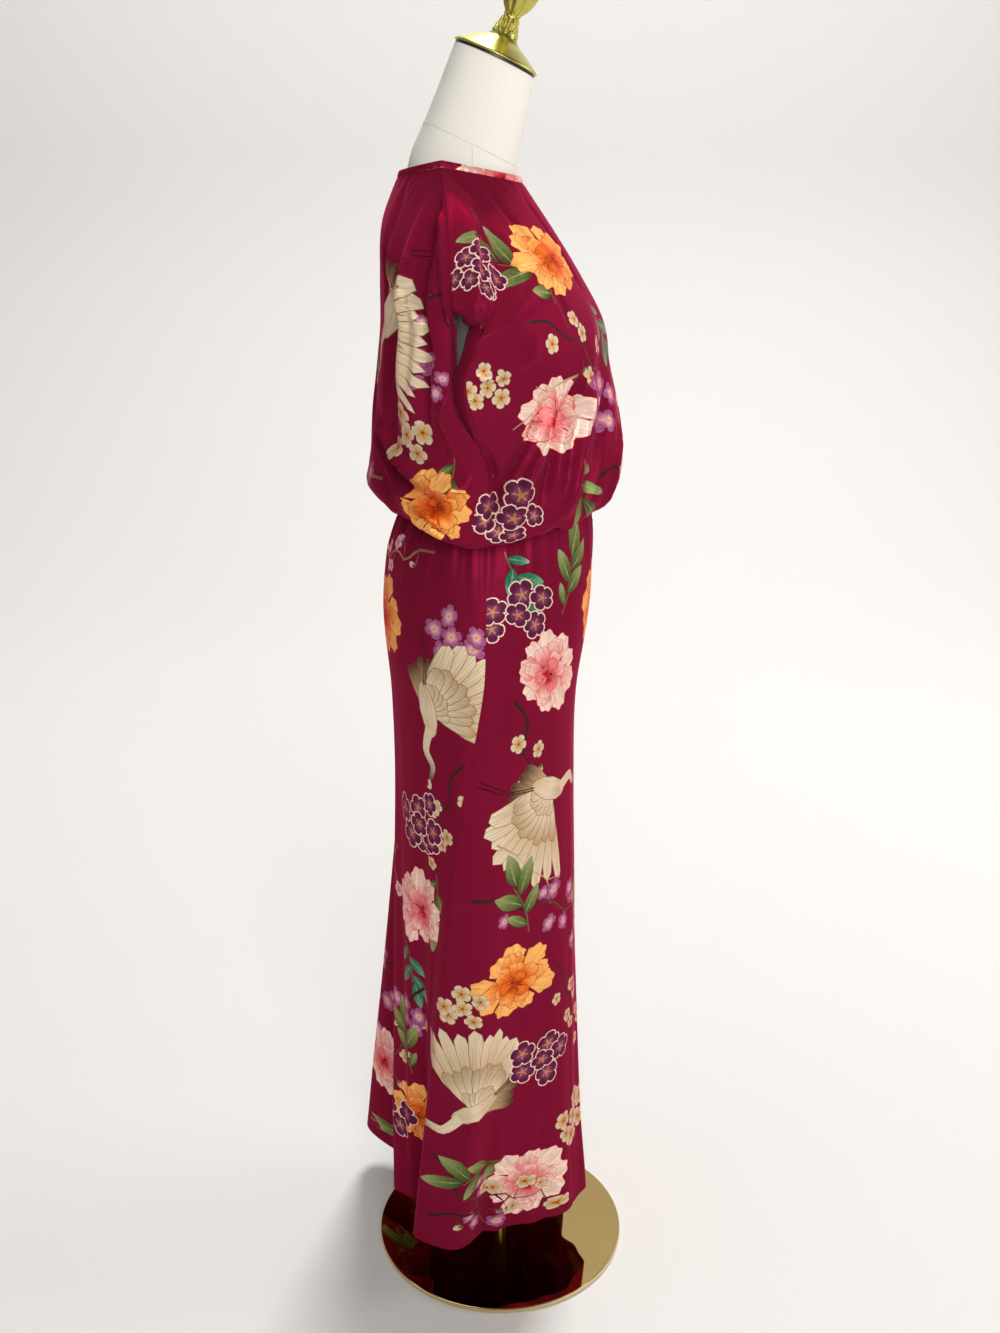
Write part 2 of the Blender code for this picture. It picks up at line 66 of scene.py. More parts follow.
# Angle at the top and at the hem, half width, flat share, depth at the hem, top height
skirtFlutes = (
    (2.0, 5.0, 15.0, 0.0, 0.013, 0.5),
    (38.0, 34.0, 20.0, 0.0, 0.008, 0.6),
    (62.0, 72.0, 18.0, 0.0, -0.006, 0.8),
    (85.0, 116.0, 26.0, 0.4, 0.046, 0.93),
    (128.0, 149.0, 13.0, 0.0, -0.02, 0.86),
    (176.0, 176.0, 16.0, 0.1, 0.022, 0.9),
    (199.0, 196.0, 11.0, 0.0, -0.034, 0.84),
    (214.0, 212.0, 21.0, 0.1, 0.11, 0.9),
    (256.0, 252.0, 16.0, 0.0, -0.02, 0.7),
    (283.0, 284.0, 20.0, 0.2, 0.04, 0.8),
    (318.0, 317.0, 18.0, 0.0, 0.022, 0.7),
    (340.0, 340.0, 12.0, 0.0, -0.012, 0.62))

# Finer falls in the cloth: the same columns, too shallow for the solids
skirtRipples = (
    (21.0, 18.0, 8.0, 0.1, 0.0035, 0.9),
    (50.0, 52.0, 9.0, 0.0, -0.003, 0.98),
    (76.0, 84.0, 7.0, 0.2, 0.003, 0.86),
    (97.0, 104.0, 6.0, 0.0, -0.0022, 0.74),
    (108.0, 133.0, 6.0, 0.0, 0.0026, 0.7),
    (150.0, 161.0, 7.0, 0.1, 0.003, 0.93),
    (229.0, 226.0, 7.0, 0.0, -0.003, 0.86),
    (243.0, 240.0, 8.0, 0.1, 0.0028, 0.96),
    (268.0, 270.0, 7.0, 0.0, -0.0024, 0.9),
    (300.0, 301.0, 8.0, 0.2, 0.003, 0.93),
    (329.0, 331.0, 6.0, 0.0, -0.002, 0.8),
    (350.0, 351.0, 7.0, 0.1, 0.0024, 0.88))

# Height, angle of the side seam on the wearer's right and on the left
skirtSeams = np.array((
    (1.106, 88.0, 272.0),
    (0.9, 89.0, 271.0),
    (0.8, 97.0, 266.0),
    (0.7, 107.0, 259.0),
    (0.6, 116.0, 252.0),
    (0.45, 127.0, 243.0),
    (0.25, 137.0, 236.0),
    (0.075, 142.0, 233.0)))

fluteGrowth = 1.15
gatherEnd = 0.97
gatherWaves = ((23, 0.0022, 0.0), (61, 0.0008, 1.3), (47, 0.0006, 4.0))  # count, depth, phase

# Rows of the top: middle height and y, edge x, y and height, roundness in y and in height
frontRows = np.array((
    (1.395, -0.062, 0.2365, 0.0225, 1.31, 1.25, 1.6),
    (1.345, -0.094, 0.235, 0.0235, 1.283, 1.15, 1.4),
    (1.295, -0.121, 0.2275, 0.0345, 1.25, 1.1, 1.2),
    (1.245, -0.131, 0.218, 0.031, 1.218, 1.05, 1.1),
    (1.195, -0.142, 0.202, 0.02, 1.17, 1.0, 1.0),
    (1.15, -0.148, 0.196, 0.023, 1.128, 0.95, 1.0),
    (1.11, -0.145, 0.191, 0.031, 1.086, 0.92, 1.0),
    (1.086, -0.13, 0.179, 0.033, 1.06, 0.92, 1.0),
    (1.09, -0.112, 0.153, 0.026, 1.07, 0.95, 1.0),
    (1.103, -0.1014, 0.13, 0.02, 1.103, 1.0, 1.0)))
backRows = np.array((
    (1.408, 0.134, 0.235, 0.0515, 1.3, 1.0, 1.5),
    (1.35, 0.138, 0.231, 0.0515, 1.272, 0.95, 1.3),
    (1.3, 0.139, 0.225, 0.0528, 1.243, 0.92, 1.2),
    (1.245, 0.145, 0.2155, 0.0455, 1.212, 0.9, 1.1),
    (1.195, 0.152, 0.202, 0.02, 1.17, 0.9, 1.0),
    (1.15, 0.155, 0.196, 0.023, 1.128, 0.9, 1.0),
    (1.118, 0.159, 0.191, 0.031, 1.086, 0.9, 1.0),
    (1.098, 0.148, 0.179, 0.033, 1.06, 0.9, 1.0),
    (1.094, 0.121, 0.153, 0.026, 1.07, 0.95, 1.0),
    (1.103, 0.0978, 0.13, 0.02, 1.103, 1.0, 1.0)))
armholeRow = 5
neckShare = 5.0 / 12.0
neckSide = np.array((0.08, 0.064, 1.462))
sleeveTip = np.array((0.234, 0.048, 1.326))
shoulderRise = 0.021
shoulderSkew = 1.2
frontNeck = (-0.026, 1.446)
backNeck = (0.117, 1.452)

# Folds of the top: both ends as shares across and down, half width, depth
frontFolds = (
    (-0.16, 0.3, -0.62, 0.8, 0.1, -0.008),
    (-0.05, 0.42, -0.34, 0.86, 0.09, -0.006),
    (0.2, 0.36, 0.6, 0.84, 0.1, -0.007),
    (-0.7, 0.56, -0.46, 0.92, 0.08, 0.006),
    (0.72, 0.58, 0.44, 0.92, 0.08, 0.006))
backFolds = (
    (-0.52, 0.06, -0.44, 0.62, 0.12, -0.011),
    (0.5, 0.06, 0.46, 0.58, 0.12, -0.01),
    (-0.2, 0.5, -0.66, 0.84, 0.11, -0.007),
    (0.14, 0.48, 0.62, 0.86, 0.11, -0.008),
    (-0.3, 0.72, 0.24, 0.78, 0.08, 0.005))

# Creases of the cloth alone: path as shares, half width on each side, depth, sharpness 0 to 1
frontCreases = (
    (((-0.42, 0.03), (-0.655, 0.045), (-0.815, 0.06), (-1.3, 0.11)), 0.019, 0.004, 0.005, 0.5),
    (((-0.46, 0.06), (-0.66, 0.08), (-0.82, 0.098), (-1.3, 0.15)), 0.009, 0.02, -0.006, 0.0),
    (((-1.02, 0.47), (-0.945, 0.58), (-0.93, 0.74)), 0.007, 0.014, -0.0055, 0.3),
    (((-0.38, 0.37), (-0.52, 0.43), (-0.66, 0.5), (-0.76, 0.7)), 0.016, 0.01, -0.0065, 0.3),
    (((-0.34, 0.4), (-0.5, 0.47), (-0.58, 0.56), (-0.66, 0.74)), 0.01, 0.022, 0.007, 0.1),
    (((-0.62, 0.4), (-0.76, 0.47), (-0.88, 0.56), (-0.97, 0.68)), 0.011, 0.008, -0.0045, 0.4),
    (((-0.58, 0.41), (-0.72, 0.5), (-0.82, 0.6), (-0.86, 0.76)), 0.011, 0.014, 0.005, 0.2),
    (((-0.2, 0.42), (-0.33, 0.52), (-0.42, 0.62), (-0.5, 0.78)), 0.014, 0.009, -0.0055, 0.3),
    (((-0.1, 0.5), (-0.22, 0.58), (-0.3, 0.68), (-0.34, 0.8)), 0.012, 0.012, 0.004, 0.1),
    (((0.04, 0.46), (0.02, 0.58), (-0.06, 0.68), (-0.1, 0.8)), 0.013, 0.01, -0.0045, 0.2),
    (((0.36, 0.36), (0.5, 0.44), (0.64, 0.52), (0.72, 0.72)), 0.01, 0.016, -0.006, 0.3),
    (((0.3, 0.41), (0.44, 0.5), (0.55, 0.58), (0.6, 0.76)), 0.022, 0.01, 0.006, 0.1),
    (((0.66, 0.38), (0.8, 0.48), (0.9, 0.58), (0.95, 0.72)), 0.008, 0.012, -0.005, 0.4),
    (((0.16, 0.48), (0.24, 0.56), (0.36, 0.66), (0.4, 0.78)), 0.009, 0.013, -0.0045, 0.3),
    (((1.02, 0.47), (0.95, 0.58), (0.92, 0.72)), 0.013, 0.007, -0.005, 0.3),
    (((0.44, 0.032), (0.66, 0.048), (0.82, 0.064), (1.3, 0.112)), 0.004, 0.018, 0.0045, 0.5),
    (((0.48, 0.062), (0.68, 0.084), (0.82, 0.102), (1.3, 0.15)), 0.02, 0.009, -0.0055, 0.0),
    (((-0.3, 0.02), (-0.4, 0.12), (-0.44, 0.3)), 0.01, 0.01, -0.0022, 0.2),
    (((-0.12, 0.01), (-0.18, 0.1), (-0.2, 0.24)), 0.008, 0.008, -0.0018, 0.3),
    (((0.02, 0.01), (0.04, 0.12), (0.02, 0.28)), 0.009, 0.008, -0.0018, 0.2),
    (((0.16, 0.01), (0.22, 0.1), (0.26, 0.26)), 0.008, 0.009, -0.002, 0.3),
    (((0.31, 0.02), (0.42, 0.13), (0.48, 0.3)), 0.01, 0.01, -0.0024, 0.2),
    (((-0.98, 0.3), (-0.8, 0.31), (-0.6, 0.27)), 0.012, 0.014, 0.003, 0.1))
backCreases = (
    (((-0.52, 0.01), (-0.66, 0.055), (-0.8, 0.16), (-0.8, 0.34), (-0.7, 0.52)), 0.022, 0.024, -0.0095, 0.1),
    (((-0.6, 0.015), (-0.8, 0.03), (-1.2, 0.095)), 0.01, 0.008, 0.0035, 0.3),
    (((-0.46, 0.03), (-0.6, 0.11), (-0.655, 0.24), (-0.58, 0.44)), 0.014, 0.018, 0.0045, 0.1),
    (((-0.22, 0.02), (-0.36, 0.12), (-0.42, 0.28), (-0.38, 0.46)), 0.012, 0.016, -0.0045, 0.2),
    (((-0.2, 0.46), (-0.43, 0.548), (-0.62, 0.58), (-0.85, 0.605), (-1.06, 0.57)),
     0.013, 0.012, 0.0065, 0.2),
    (((-0.16, 0.54), (-0.4, 0.605), (-0.64, 0.64), (-0.9, 0.665)), 0.011, 0.012, -0.0065, 0.3),
    (((-0.34, 0.62), (-0.52, 0.65), (-0.72, 0.672), (-0.93, 0.735)), 0.009, 0.011, 0.005, 0.2),
    (((-0.6, 0.7), (-0.76, 0.72), (-0.92, 0.79)), 0.01, 0.01, -0.0045, 0.3),
    (((-0.99, 0.34), (-0.9, 0.42), (-0.88, 0.54)), 0.01, 0.013, 0.004, 0.2),
    (((-0.06, 0.24), (-0.16, 0.38), (-0.12, 0.56)), 0.014, 0.018, -0.004, 0.1),
    (((0.08, 0.48), (-0.02, 0.62), (-0.14, 0.74)), 0.012, 0.01, -0.005, 0.3),
    (((0.5, 0.012), (0.64, 0.06), (0.78, 0.17), (0.78, 0.34), (0.68, 0.5)), 0.024, 0.022, -0.009, 0.1),
    (((0.62, 0.016), (0.82, 0.032), (1.2, 0.092)), 0.008, 0.01, 0.0035, 0.3),
    (((0.44, 0.04), (0.57, 0.12), (0.62, 0.25), (0.56, 0.42)), 0.018, 0.014, 0.0045, 0.1),
    (((0.2, 0.03), (0.32, 0.13), (0.38, 0.27), (0.33, 0.44)), 0.014, 0.012, -0.0045, 0.2),
    (((0.18, 0.5), (0.4, 0.57), (0.66, 0.6), (0.88, 0.62), (1.06, 0.59)), 0.012, 0.013, 0.006, 0.2),
    (((0.2, 0.58), (0.46, 0.63), (0.7, 0.66), (0.9, 0.69)), 0.012, 0.011, -0.006, 0.3),
    (((0.3, 0.66), (0.52, 0.69), (0.74, 0.72), (0.92, 0.78)), 0.01, 0.01, 0.004, 0.2))
foldFade = 6.0
foldEndShare = 0.35
creaseLook = {"gain": 2.0, "reach": 1.3, "narrow": 0.7, "opening": 0.6, "start": 0.3, "end": 0.25,
              "fromSeam": 0.016, "fromNeck": 0.01}
puckers = {"waist": 0.0016, "waistTurn": 9.0, "neck": 0.0005, "neckTurn": 120.0}

# Middle height, rise per metre of y, front y, back y and half width
formRings = np.array((
    (0.764, 0.0, -0.06, 0.09, 0.12),
    (0.778, 0.0, -0.076, 0.106, 0.138),
    (0.83, 0.0, -0.084, 0.116, 0.148),
    (0.9, 0.0, -0.092, 0.124, 0.153),
    (0.96, 0.0, -0.096, 0.124, 0.15),
    (1.02, 0.0, -0.094, 0.108, 0.137),
    (1.075, 0.0, -0.086, 0.082, 0.1185),
    (1.106, 0.0, -0.085, 0.078, 0.115),
    (1.16, 0.0, -0.092, 0.086, 0.121),
    (1.22, 0.0, -0.104, 0.098, 0.132),
    (1.28, 0.0, -0.106, 0.106, 0.144),
    (1.33, 0.0, -0.085, 0.112, 0.158),
    (1.365, 0.02, -0.062, 0.114, 0.166),
    (1.392, 0.06, -0.044, 0.113, 0.15),
    (1.414, 0.08, -0.033, 0.111, 0.123),
    (1.434, 0.1, -0.0265, 0.109, 0.0972),
    (1.452, 0.12, -0.021, 0.106, 0.0716),
    (1.472, 0.18, -0.02, 0.1, 0.06),
    (1.496, 0.25, -0.023, 0.087, 0.054),
    (1.532, 0.36, -0.03, 0.069, 0.049),
    (1.562, 0.42, -0.036, 0.056, 0.0465),
    (1.5755, 0.43, -0.0375, 0.05, 0.045)))


def tone(red, green, blue):  # screen values, 0 to 255, as linear light
    parts = np.array((red, green, blue)) / 255.0
    return np.where(parts <= 0.04045, parts / 12.92, ((parts + 0.055) / 1.055) ** 2.4)


def smoothStep(value):
    value = np.clip(value, 0.0, 1.0)
    return value * value * (3.0 - 2.0 * value)


def cubic(before, start, end, after, share):
    slopeA = 0.5 * (end - before)
    slopeB = 0.5 * (after - start)
    square = share * share
    cube = square * share
    return (start * (2.0 * cube - 3.0 * square + 1.0) + slopeA * (cube - 2.0 * square + share)
            + end * (3.0 * square - 2.0 * cube) + slopeB * (cube - square))


def smoothLine(points, steps=4):
    points = np.asarray(points, float)
    last = len(points) - 1
    line = []
    for index in range(last):
        around = [points[min(last, max(0, index + shift))] for shift in (-1, 0, 1, 2)]
        line += [cubic(*around, step / steps) for step in range(steps)]
    return np.array(line + [points[last]])


def readTable(table, height):  # the table's other columns at each height
    last = len(table) - 1
    index = np.clip(np.searchsorted(-table[:, 0], -height, side="right") - 1, 0, last - 1)
    upper = table[index]
    lower = table[index + 1]
    share = ((upper[:, 0] - height) / (upper[:, 0] - lower[:, 0]))[:, None]
    before = table[np.maximum(index - 1, 0)]
    after = table[np.minimum(index + 2, last)]
    return cubic(before, upper, lower, after, share)[:, 1:].T


def fluteDepth(flutes, angle, height):
    depth = np.zeros(len(angle))
    for angleTop, angleHem, halfWidth, flat, deep, start in flutes:
        fall = np.clip((start - height) / (start - hemHeight), 0.0, None)
        middle = angleTop + (angleHem - angleTop) * fall
        offset = np.abs((angle - middle + 180.0) % 360.0 - 180.0) / halfWidth
        slope = np.clip((offset - flat) / (1.0 - flat), 0.0, 1.0)
        depth += deep * fall ** fluteGrowth * 0.5 * (1.0 + np.cos(math.pi * slope))
    return depth


def gatherDepth(angle, height):
    share = smoothStep((height - gatherEnd) / (waistHeight - gatherEnd))
    turn = np.radians(angle)
    depth = np.zeros(len(angle))
    for count, deep, phase in gatherWaves:
        depth += deep * np.cos(turn * count + phase * np.sin(3.0 * turn))
    return depth * share


def skirtSurface(across, down, isFront):
    height = waistHeight + (hemHeight - waistHeight) * down
    seamRight, seamLeft = readTable(skirtSeams, height)
    end = seamLeft - 360.0 if isFront else seamLeft
    angle = seamRight + (end - seamRight) * 0.5 * (across + 1.0)
    right, left, front, back = readTable(skirtRings, height)
    turn = np.radians(angle)
    half = np.where(np.sin(turn) > 0.0, right, left)
    reach = np.where(np.cos(turn) > 0.0, ringCentreY - front, back - ringCentreY)
    offset = np.stack((-np.sin(turn) * half, -np.cos(turn) * reach), axis=1)
    away = fluteDepth(skirtFlutes, angle, height) + gatherDepth(angle, height)
    away += fluteDepth(skirtRipples, angle, height)
    offset += offset / np.linalg.norm(offset, axis=1)[:, None] * away[:, None]
    return np.stack((offset[:, 0], ringCentreY + offset[:, 1], height), axis=1)


def neckEdge(across, neckMiddle):  # neckline, then shoulder seam
    reach = np.abs(across)
    turn = 0.5 * math.pi * np.clip(reach / neckShare, 0.0, 1.0)
    middleY, middleZ = neckMiddle
    neck = np.stack((neckSide[0] * np.sin(turn),
                     neckSide[1] + (middleY - neckSide[1]) * np.cos(turn),
                     neckSide[2] + (middleZ - neckSide[2]) * np.cos(turn)), axis=1)
    along = np.clip((reach - neckShare) / (1.0 - neckShare), 0.0, 1.0)
    shoulder = neckSide + (sleeveTip - neckSide) * along[:, None]
    shoulder[:, 2] += shoulderRise * np.sin(math.pi * along ** shoulderSkew)
    line = np.where((reach <= neckShare)[:, None], neck, shoulder)
    line[:, 0] *= np.sign(across)
    return line


def topLine(row, across):
    middleZ, middleY, edgeX, edgeY, edgeZ, roundY, roundZ = row
    turn = 0.5 * math.pi * np.abs(across)
    bend = np.clip(np.cos(turn), 0.0, 1.0)
    return np.stack((np.sign(across) * edgeX * np.sin(turn),
                     edgeY + (middleY - edgeY) * bend ** roundY,
                     edgeZ + (middleZ - edgeZ) * bend ** roundZ), axis=1)


def topSurface(across, down, rows, neckMiddle):
    lines = np.stack([neckEdge(across, neckMiddle)] + [topLine(row, across) for row in rows])
    last = len(lines) - 1
    place = np.clip(down, 0.0, 1.0) * last
    index = np.minimum(place.astype(int), last - 1)
    share = (place - index)[:, None]
    each = np.arange(len(across))
    before = lines[np.maximum(index - 1, 0), each]
    start = lines[index, each]
    afresh = ((index == armholeRow) * smoothStep((np.abs(across) - 0.9) / 0.1))[:, None]
    before = before + (start - before) * afresh  # a side seam starts afresh below the armhole
    return cubic(before, start, lines[index + 1, each], lines[np.minimum(index + 2, last), each], share)


def foldDepth(folds, across, down):
    depth = np.zeros(len(across))
    for acrossA, downA, acrossB, downB, halfWidth, deep in folds:
        runX = acrossB - acrossA
        runY = downB - downA
        along = ((across - acrossA) * runX + (down - downA) * runY) / (runX * runX + runY * runY)
        along = np.clip(along, 0.0, 1.0)
        away = np.hypot(across - acrossA - along * runX, down - downA - along * runY)
        swell = foldEndShare + (1.0 - foldEndShare) * np.sin(math.pi * along)
        depth += deep * swell * 0.5 * (1.0 + np.cos(math.pi * np.clip(away / halfWidth, 0.0, 1.0)))
    return depth


def creaseDepth(creases, across, down, scale):
    places = np.stack((across, down), axis=1) * scale
    depth = np.zeros(len(places))
    for path, firstWidth, secondWidth, deep, sharp in creases:
        line = smoothLine(np.array(path) * scale)
        reach = creaseLook["reach"] * max(firstWidth, secondWidth)
        near = ((places > line.min(axis=0) - reach) & (places < line.max(axis=0) + reach)).all(axis=1)
        spots = places[near]
        closest = np.full(len(spots), 1e9)
        share = np.zeros(len(spots))
        side = np.zeros(len(spots))
        for index, (start, end) in enumerate(zip(line[:-1], line[1:])):
            run = end - start
            offset = spots - start
            along = np.clip(offset @ run / (run @ run), 0.0, 1.0)
            distance = np.linalg.norm(offset - along[:, None] * run, axis=1)
            closer = distance < closest
            closest[closer] = distance[closer]
            share[closer] = (index + along[closer]) / (len(line) - 1)
            side[closer] = (run[0] * offset[:, 1] - run[1] * offset[:, 0])[closer]
        width = np.where(side > 0.0, firstWidth, secondWidth)
        width = width * (creaseLook["narrow"] + creaseLook["opening"] * share)  # a fold opens as it runs
        away = np.clip(closest / width, 0.0, 1.0)
        shape = (1.0 - sharp) * (1.0 - smoothStep(away)) + sharp * (1.0 - away) ** 2
        swell = creaseLook["gain"] * deep * smoothStep(share / creaseLook["start"])
        depth[near] += swell * smoothStep((1.0 - share) / creaseLook["end"]) * shape
    return depth


def surfaceSlopes(surface, across, down, step=0.002):
    acrossSlope = surface(across + step, down) - surface(across - step, down)
    downSlope = surface(across, down + step) - surface(across, down - step)
    return acrossSlope / (2.0 * step), downSlope / (2.0 * step)


def surfaceNormals(surface, across, down, outward):
    acrossIn = np.clip(across, -0.997, 0.997)
    downIn = np.clip(down, 0.003, 0.997)
    acrossSlope, downSlope = surfaceSlopes(surface, acrossIn, downIn)
    normals = np.cross(downSlope, acrossSlope)
    normals /= np.linalg.norm(normals, axis=1)[:, None] + 1e-12
    return normals * outward


def outwardSign(surface, direction):
    middle = np.array([0.0]), np.array([0.5])
    return 1.0 if surfaceNormals(surface, *middle, 1.0)[0] @ np.array(direction) > 0.0 else -1.0


# The print: drawings in metres, x across and y down, later patches on top

# the wrong side's ground ink is partly its own paler dye and partly painted light, made lighter to stand in
# for light shining through the thin silk
inks = {
    "ground": tone(122, 20, 49), "insideGroundWithPaintedLight": tone(150, 34, 54), "showThrough": tone(176, 104, 44),
    "ivory": tone(226, 206, 176), "cream": tone(206, 180, 142), "sand": tone(178, 148, 108),
    "earth": tone(120, 90, 62), "bark": tone(58, 38, 36), "black": tone(26, 16, 18),
    "blush": tone(240, 206, 190), "pink": tone(228, 128, 130), "coral": tone(222, 84, 72),
    "red": tone(186, 30, 38), "wine": tone(96, 14, 34), "amber": tone(246, 178, 98),
    "orange": tone(232, 112, 40), "rust": tone(168, 56, 16), "plum": tone(92, 34, 62),
    "mauve": tone(160, 84, 126), "rose": tone(236, 190, 200), "moss": tone(58, 76, 40),
    "leaf": tone(104, 122, 64), "sage": tone(158, 164, 112), "teal": tone(40, 118, 92),
    "mint": tone(120, 176, 140), "gold": tone(196, 142, 70)}
origin = (0.0, 0.0)
peonyRim = 0.0006
ruffleDeep = 0.07


def stops(*names):  # three inks from a patch's foot to its tip; one name gives a plain patch
    return np.stack([inks[name] for name in (names * 3)[:3]])


def turned(points, turn):
    cosine = math.cos(turn)
    sine = math.sin(turn)
    return np.asarray(points) @ np.array(((cosine, sine), (-sine, cosine)))


def addPatch(drawing, outline, foot, tip, side, colours, grain=0.0):
    drawing.append({"outline": np.asarray(outline), "frame": np.array((foot, tip, side)),
                    "stops": colours, "grain": grain})


def addPetal(drawing, foot, turn, length, width, colours, rim=None, rimWidth=0.0007,
             rise=0.8, fall=0.45, grain=0.35, sides=7):
    foot = np.asarray(foot, float)
    share = 0.5 - 0.5 * np.cos(np.linspace(0.0, math.pi, sides))
    half = share ** rise * (1.0 - share) ** fall
    half *= 0.5 / half.max()
    shape = np.concatenate((np.stack((share, half), 1), np.stack((share, -half), 1)[-2:0:-1]))
    for extra, paint in ((rimWidth, rim), (0.0, colours)):
        if paint is None:
            continue
        size = np.array((length + 2.2 * extra, width + 2.4 * extra))
        line = shape * size - (1.1 * extra, 0.0)
        line[np.abs(shape[:, 1]) < 1e-9, 1] = 0.0
        marks = turned((origin, (length, 0.0), (0.0, 0.5 * width)), turn) + foot
        addPatch(drawing, turned(line, turn) + foot, *marks, paint, grain if extra == 0.0 else 0.0)


def addRuffle(drawing, foot, turn, length, spread, colours, rim, lobes):
    sweep = np.linspace(-1.0, 1.0, 4 * lobes + 1)
    reach = 1.0 - 0.22 * sweep ** 2 - ruffleDeep * (0.5 + 0.5 * np.cos(math.pi * lobes * sweep))
    marks = turned((origin, (length, 0.0), (0.0, length * spread)), turn) + foot
    for extra, paint, grain in ((peonyRim, rim, 0.0), (0.0, colours, 0.5)):
        angle = sweep * (spread + 1.3 * extra / length)
        arc = np.stack((np.cos(angle), np.sin(angle)), 1) * (reach * length + extra)[:, None]
        waist = 0.3 * length
        neck = [(waist * math.cos(side * spread), waist * math.sin(side * spread) * 0.75 + side * extra)
                for side in (1.0, -1.0)]
        line = np.concatenate((arc, neck[:1], [(-extra, 0.0)], neck[1:]))
        addPatch(drawing, turned(line, turn) + foot, *marks, paint, grain)


def addStroke(drawing, points, startWidth, endWidth, colours, steps=4):
    line = smoothLine(points, steps)
    run = np.gradient(line, axis=0)
    run /= np.linalg.norm(run, axis=1)[:, None] + 1e-12
    normal = np.stack((-run[:, 1], run[:, 0]), 1)
    half = 0.5 * np.linspace(startWidth, endWidth, len(line))[:, None]
    outline = np.concatenate((line + normal * half, (line - normal * half)[::-1]))
    addPatch(drawing, outline, line[0], line[-1], line[0] + normal[0] * startWidth, colours, 0.2)


def drawBlossom(size, petals, rim, heart, rimWidth, turn):
    drawing = []
    for paint, grow in ((rim, rimWidth), (petals, 0.0)):
        for index in range(5):
            aim = turn + index * math.tau / 5.0
            foot = turned((0.05 * size, 0.0), aim) - turned((grow, 0.0), aim)
            addPetal(drawing, foot, aim, 0.47 * size + 2.0 * grow, 0.42 * size + 2.0 * grow, paint)
    for index in range(5):
        aim = turn + (index + 0.5) * math.tau / 5.0
        addPetal(drawing, origin, aim, 0.26 * size, 0.045 * size, heart, rise=0.3, fall=0.2, sides=4)
    ring = [turned((0.075 * size, 0.0), math.tau * step / 7.0) for step in range(7)]
    addPatch(drawing, ring, origin, (size, 0.0), (0.0, size), heart)
    return drawing


def drawBud(size, turn, colours, rim, foot):
    drawing = []
    addPetal(drawing, foot, turn, size, 0.62 * size, colours, rim, rise=0.6, fall=0.7)
    addPetal(drawing, foot, turn, 0.42 * size, 0.4 * size, stops("moss", "leaf", "leaf"), rise=0.5, fall=0.8,
             sides=5)
    return drawing


def moved(drawing, shift, turn=0.0, squash=1.0):
    placed = []
    for patch in drawing:
        copy = dict(patch)
        for key in ("outline", "frame"):
            copy[key] = turned(patch[key] * (1.0, squash), turn) + shift
        placed.append(copy)
    return placed


def drawCluster(size, count, flower, bloom, rng):
    spots = []
    for index in range(count):
        ring = 0 if index == 0 else 1 if index < 7 else 2
        angle = index * 2.4 + rng.uniform(-0.25, 0.25)
        reach = size * (0.0, 0.62, 1.0)[ring] * rng.uniform(0.8, 1.1)
        spots.append((reach * math.cos(angle), reach * math.sin(angle) * 0.8))
    drawing = []
    for spot in sorted(spots, key=lambda place: -abs(place[1])):
        flowerlet = drawBlossom(flower * rng.uniform(0.82, 1.08), *bloom, rng.uniform(0.0, 1.2))
        drawing += moved(flowerlet, spot, rng.uniform(0.0, 3.0), rng.uniform(0.72, 1.0))
    return drawing


def drawPeony(size, rng, shades, rim):
    deep, middle, pale = shades
    rings = (  # petals, foot, length, half spread, colours, lobes
        (9, 0.04, 0.48, 0.42, stops(middle, pale, pale), 3),
        (8, 0.03, 0.38, 0.46, stops(middle, middle, pale), 3),
        (7, 0.02, 0.29, 0.5, stops(deep, middle, pale), 2),
        (6, 0.01, 0.2, 0.56, stops(deep, middle, middle), 2),
        (4, 0.0, 0.11, 0.7, stops(deep, deep, middle), 2))
    drawing = []
    offset = np.zeros(2)
    for count, foot, length, spread, colours, lobes in rings:
        first = rng.uniform(0.0, 2.0)
        for index in range(count):
            aim = first + (index * 2 % count) * math.tau / count + rng.uniform(-0.12, 0.12)
            reach = size * length * rng.uniform(0.86, 1.12)
            addRuffle(drawing, offset + turned((foot * size, 0.0), aim), aim, reach,
                      spread * rng.uniform(0.9, 1.1), colours, rim, lobes)
        offset = offset + (rng.uniform(-0.02, 0.02) * size, 0.02 * size)
    return moved(drawing, origin, squash=0.86)


def drawLeaf(length, width, colours, rib):
    drawing = []
    addPetal(drawing, origin, 0.0, length, width, colours, stops("moss"), 0.0005, 0.75, 0.85, 0.6, 8)
    addPetal(drawing, origin, 0.0, 0.92 * length, 0.05 * width + 0.0005, rib, rise=0.2, fall=0.9, sides=4)
    for share in (0.25, 0.42, 0.58, 0.72):
        for side in (-1.0, 1.0):
            rise = 0.34 * width * math.sin(math.pi * share ** 0.9)
            addPetal(drawing, (share * length, 0.0), side * 0.65, rise * 1.15, 0.0005, rib,
                     rise=0.1, fall=0.5, sides=3)
    return drawing


def drawLeaves(size, rng, colours, rib):
    drawing = []
    stem = [origin, (0.3 * size, 0.05 * size), (0.62 * size, 0.0)]
    addStroke(drawing, stem, 0.0018, 0.001, stops("earth", "leaf", "leaf"))
    leaves = ((0.62, 0.42), (0.5, 0.44), (0.36, 0.4), (0.24, 0.36), (0.1, 0.28))  # share of the stem, length
    for index, (share, long) in enumerate(leaves):
        side = 0.0 if index == 0 else 1.0 if index % 2 else -1.0
        length = size * long * rng.uniform(0.9, 1.1)
        turn = side * rng.uniform(0.55, 0.85)
        leaf = drawLeaf(length, length * rng.uniform(0.34, 0.44), colours, rib)
        drawing += moved(leaf, (share * size, 0.04 * size * math.sin(math.pi * share)), turn)
    return drawing


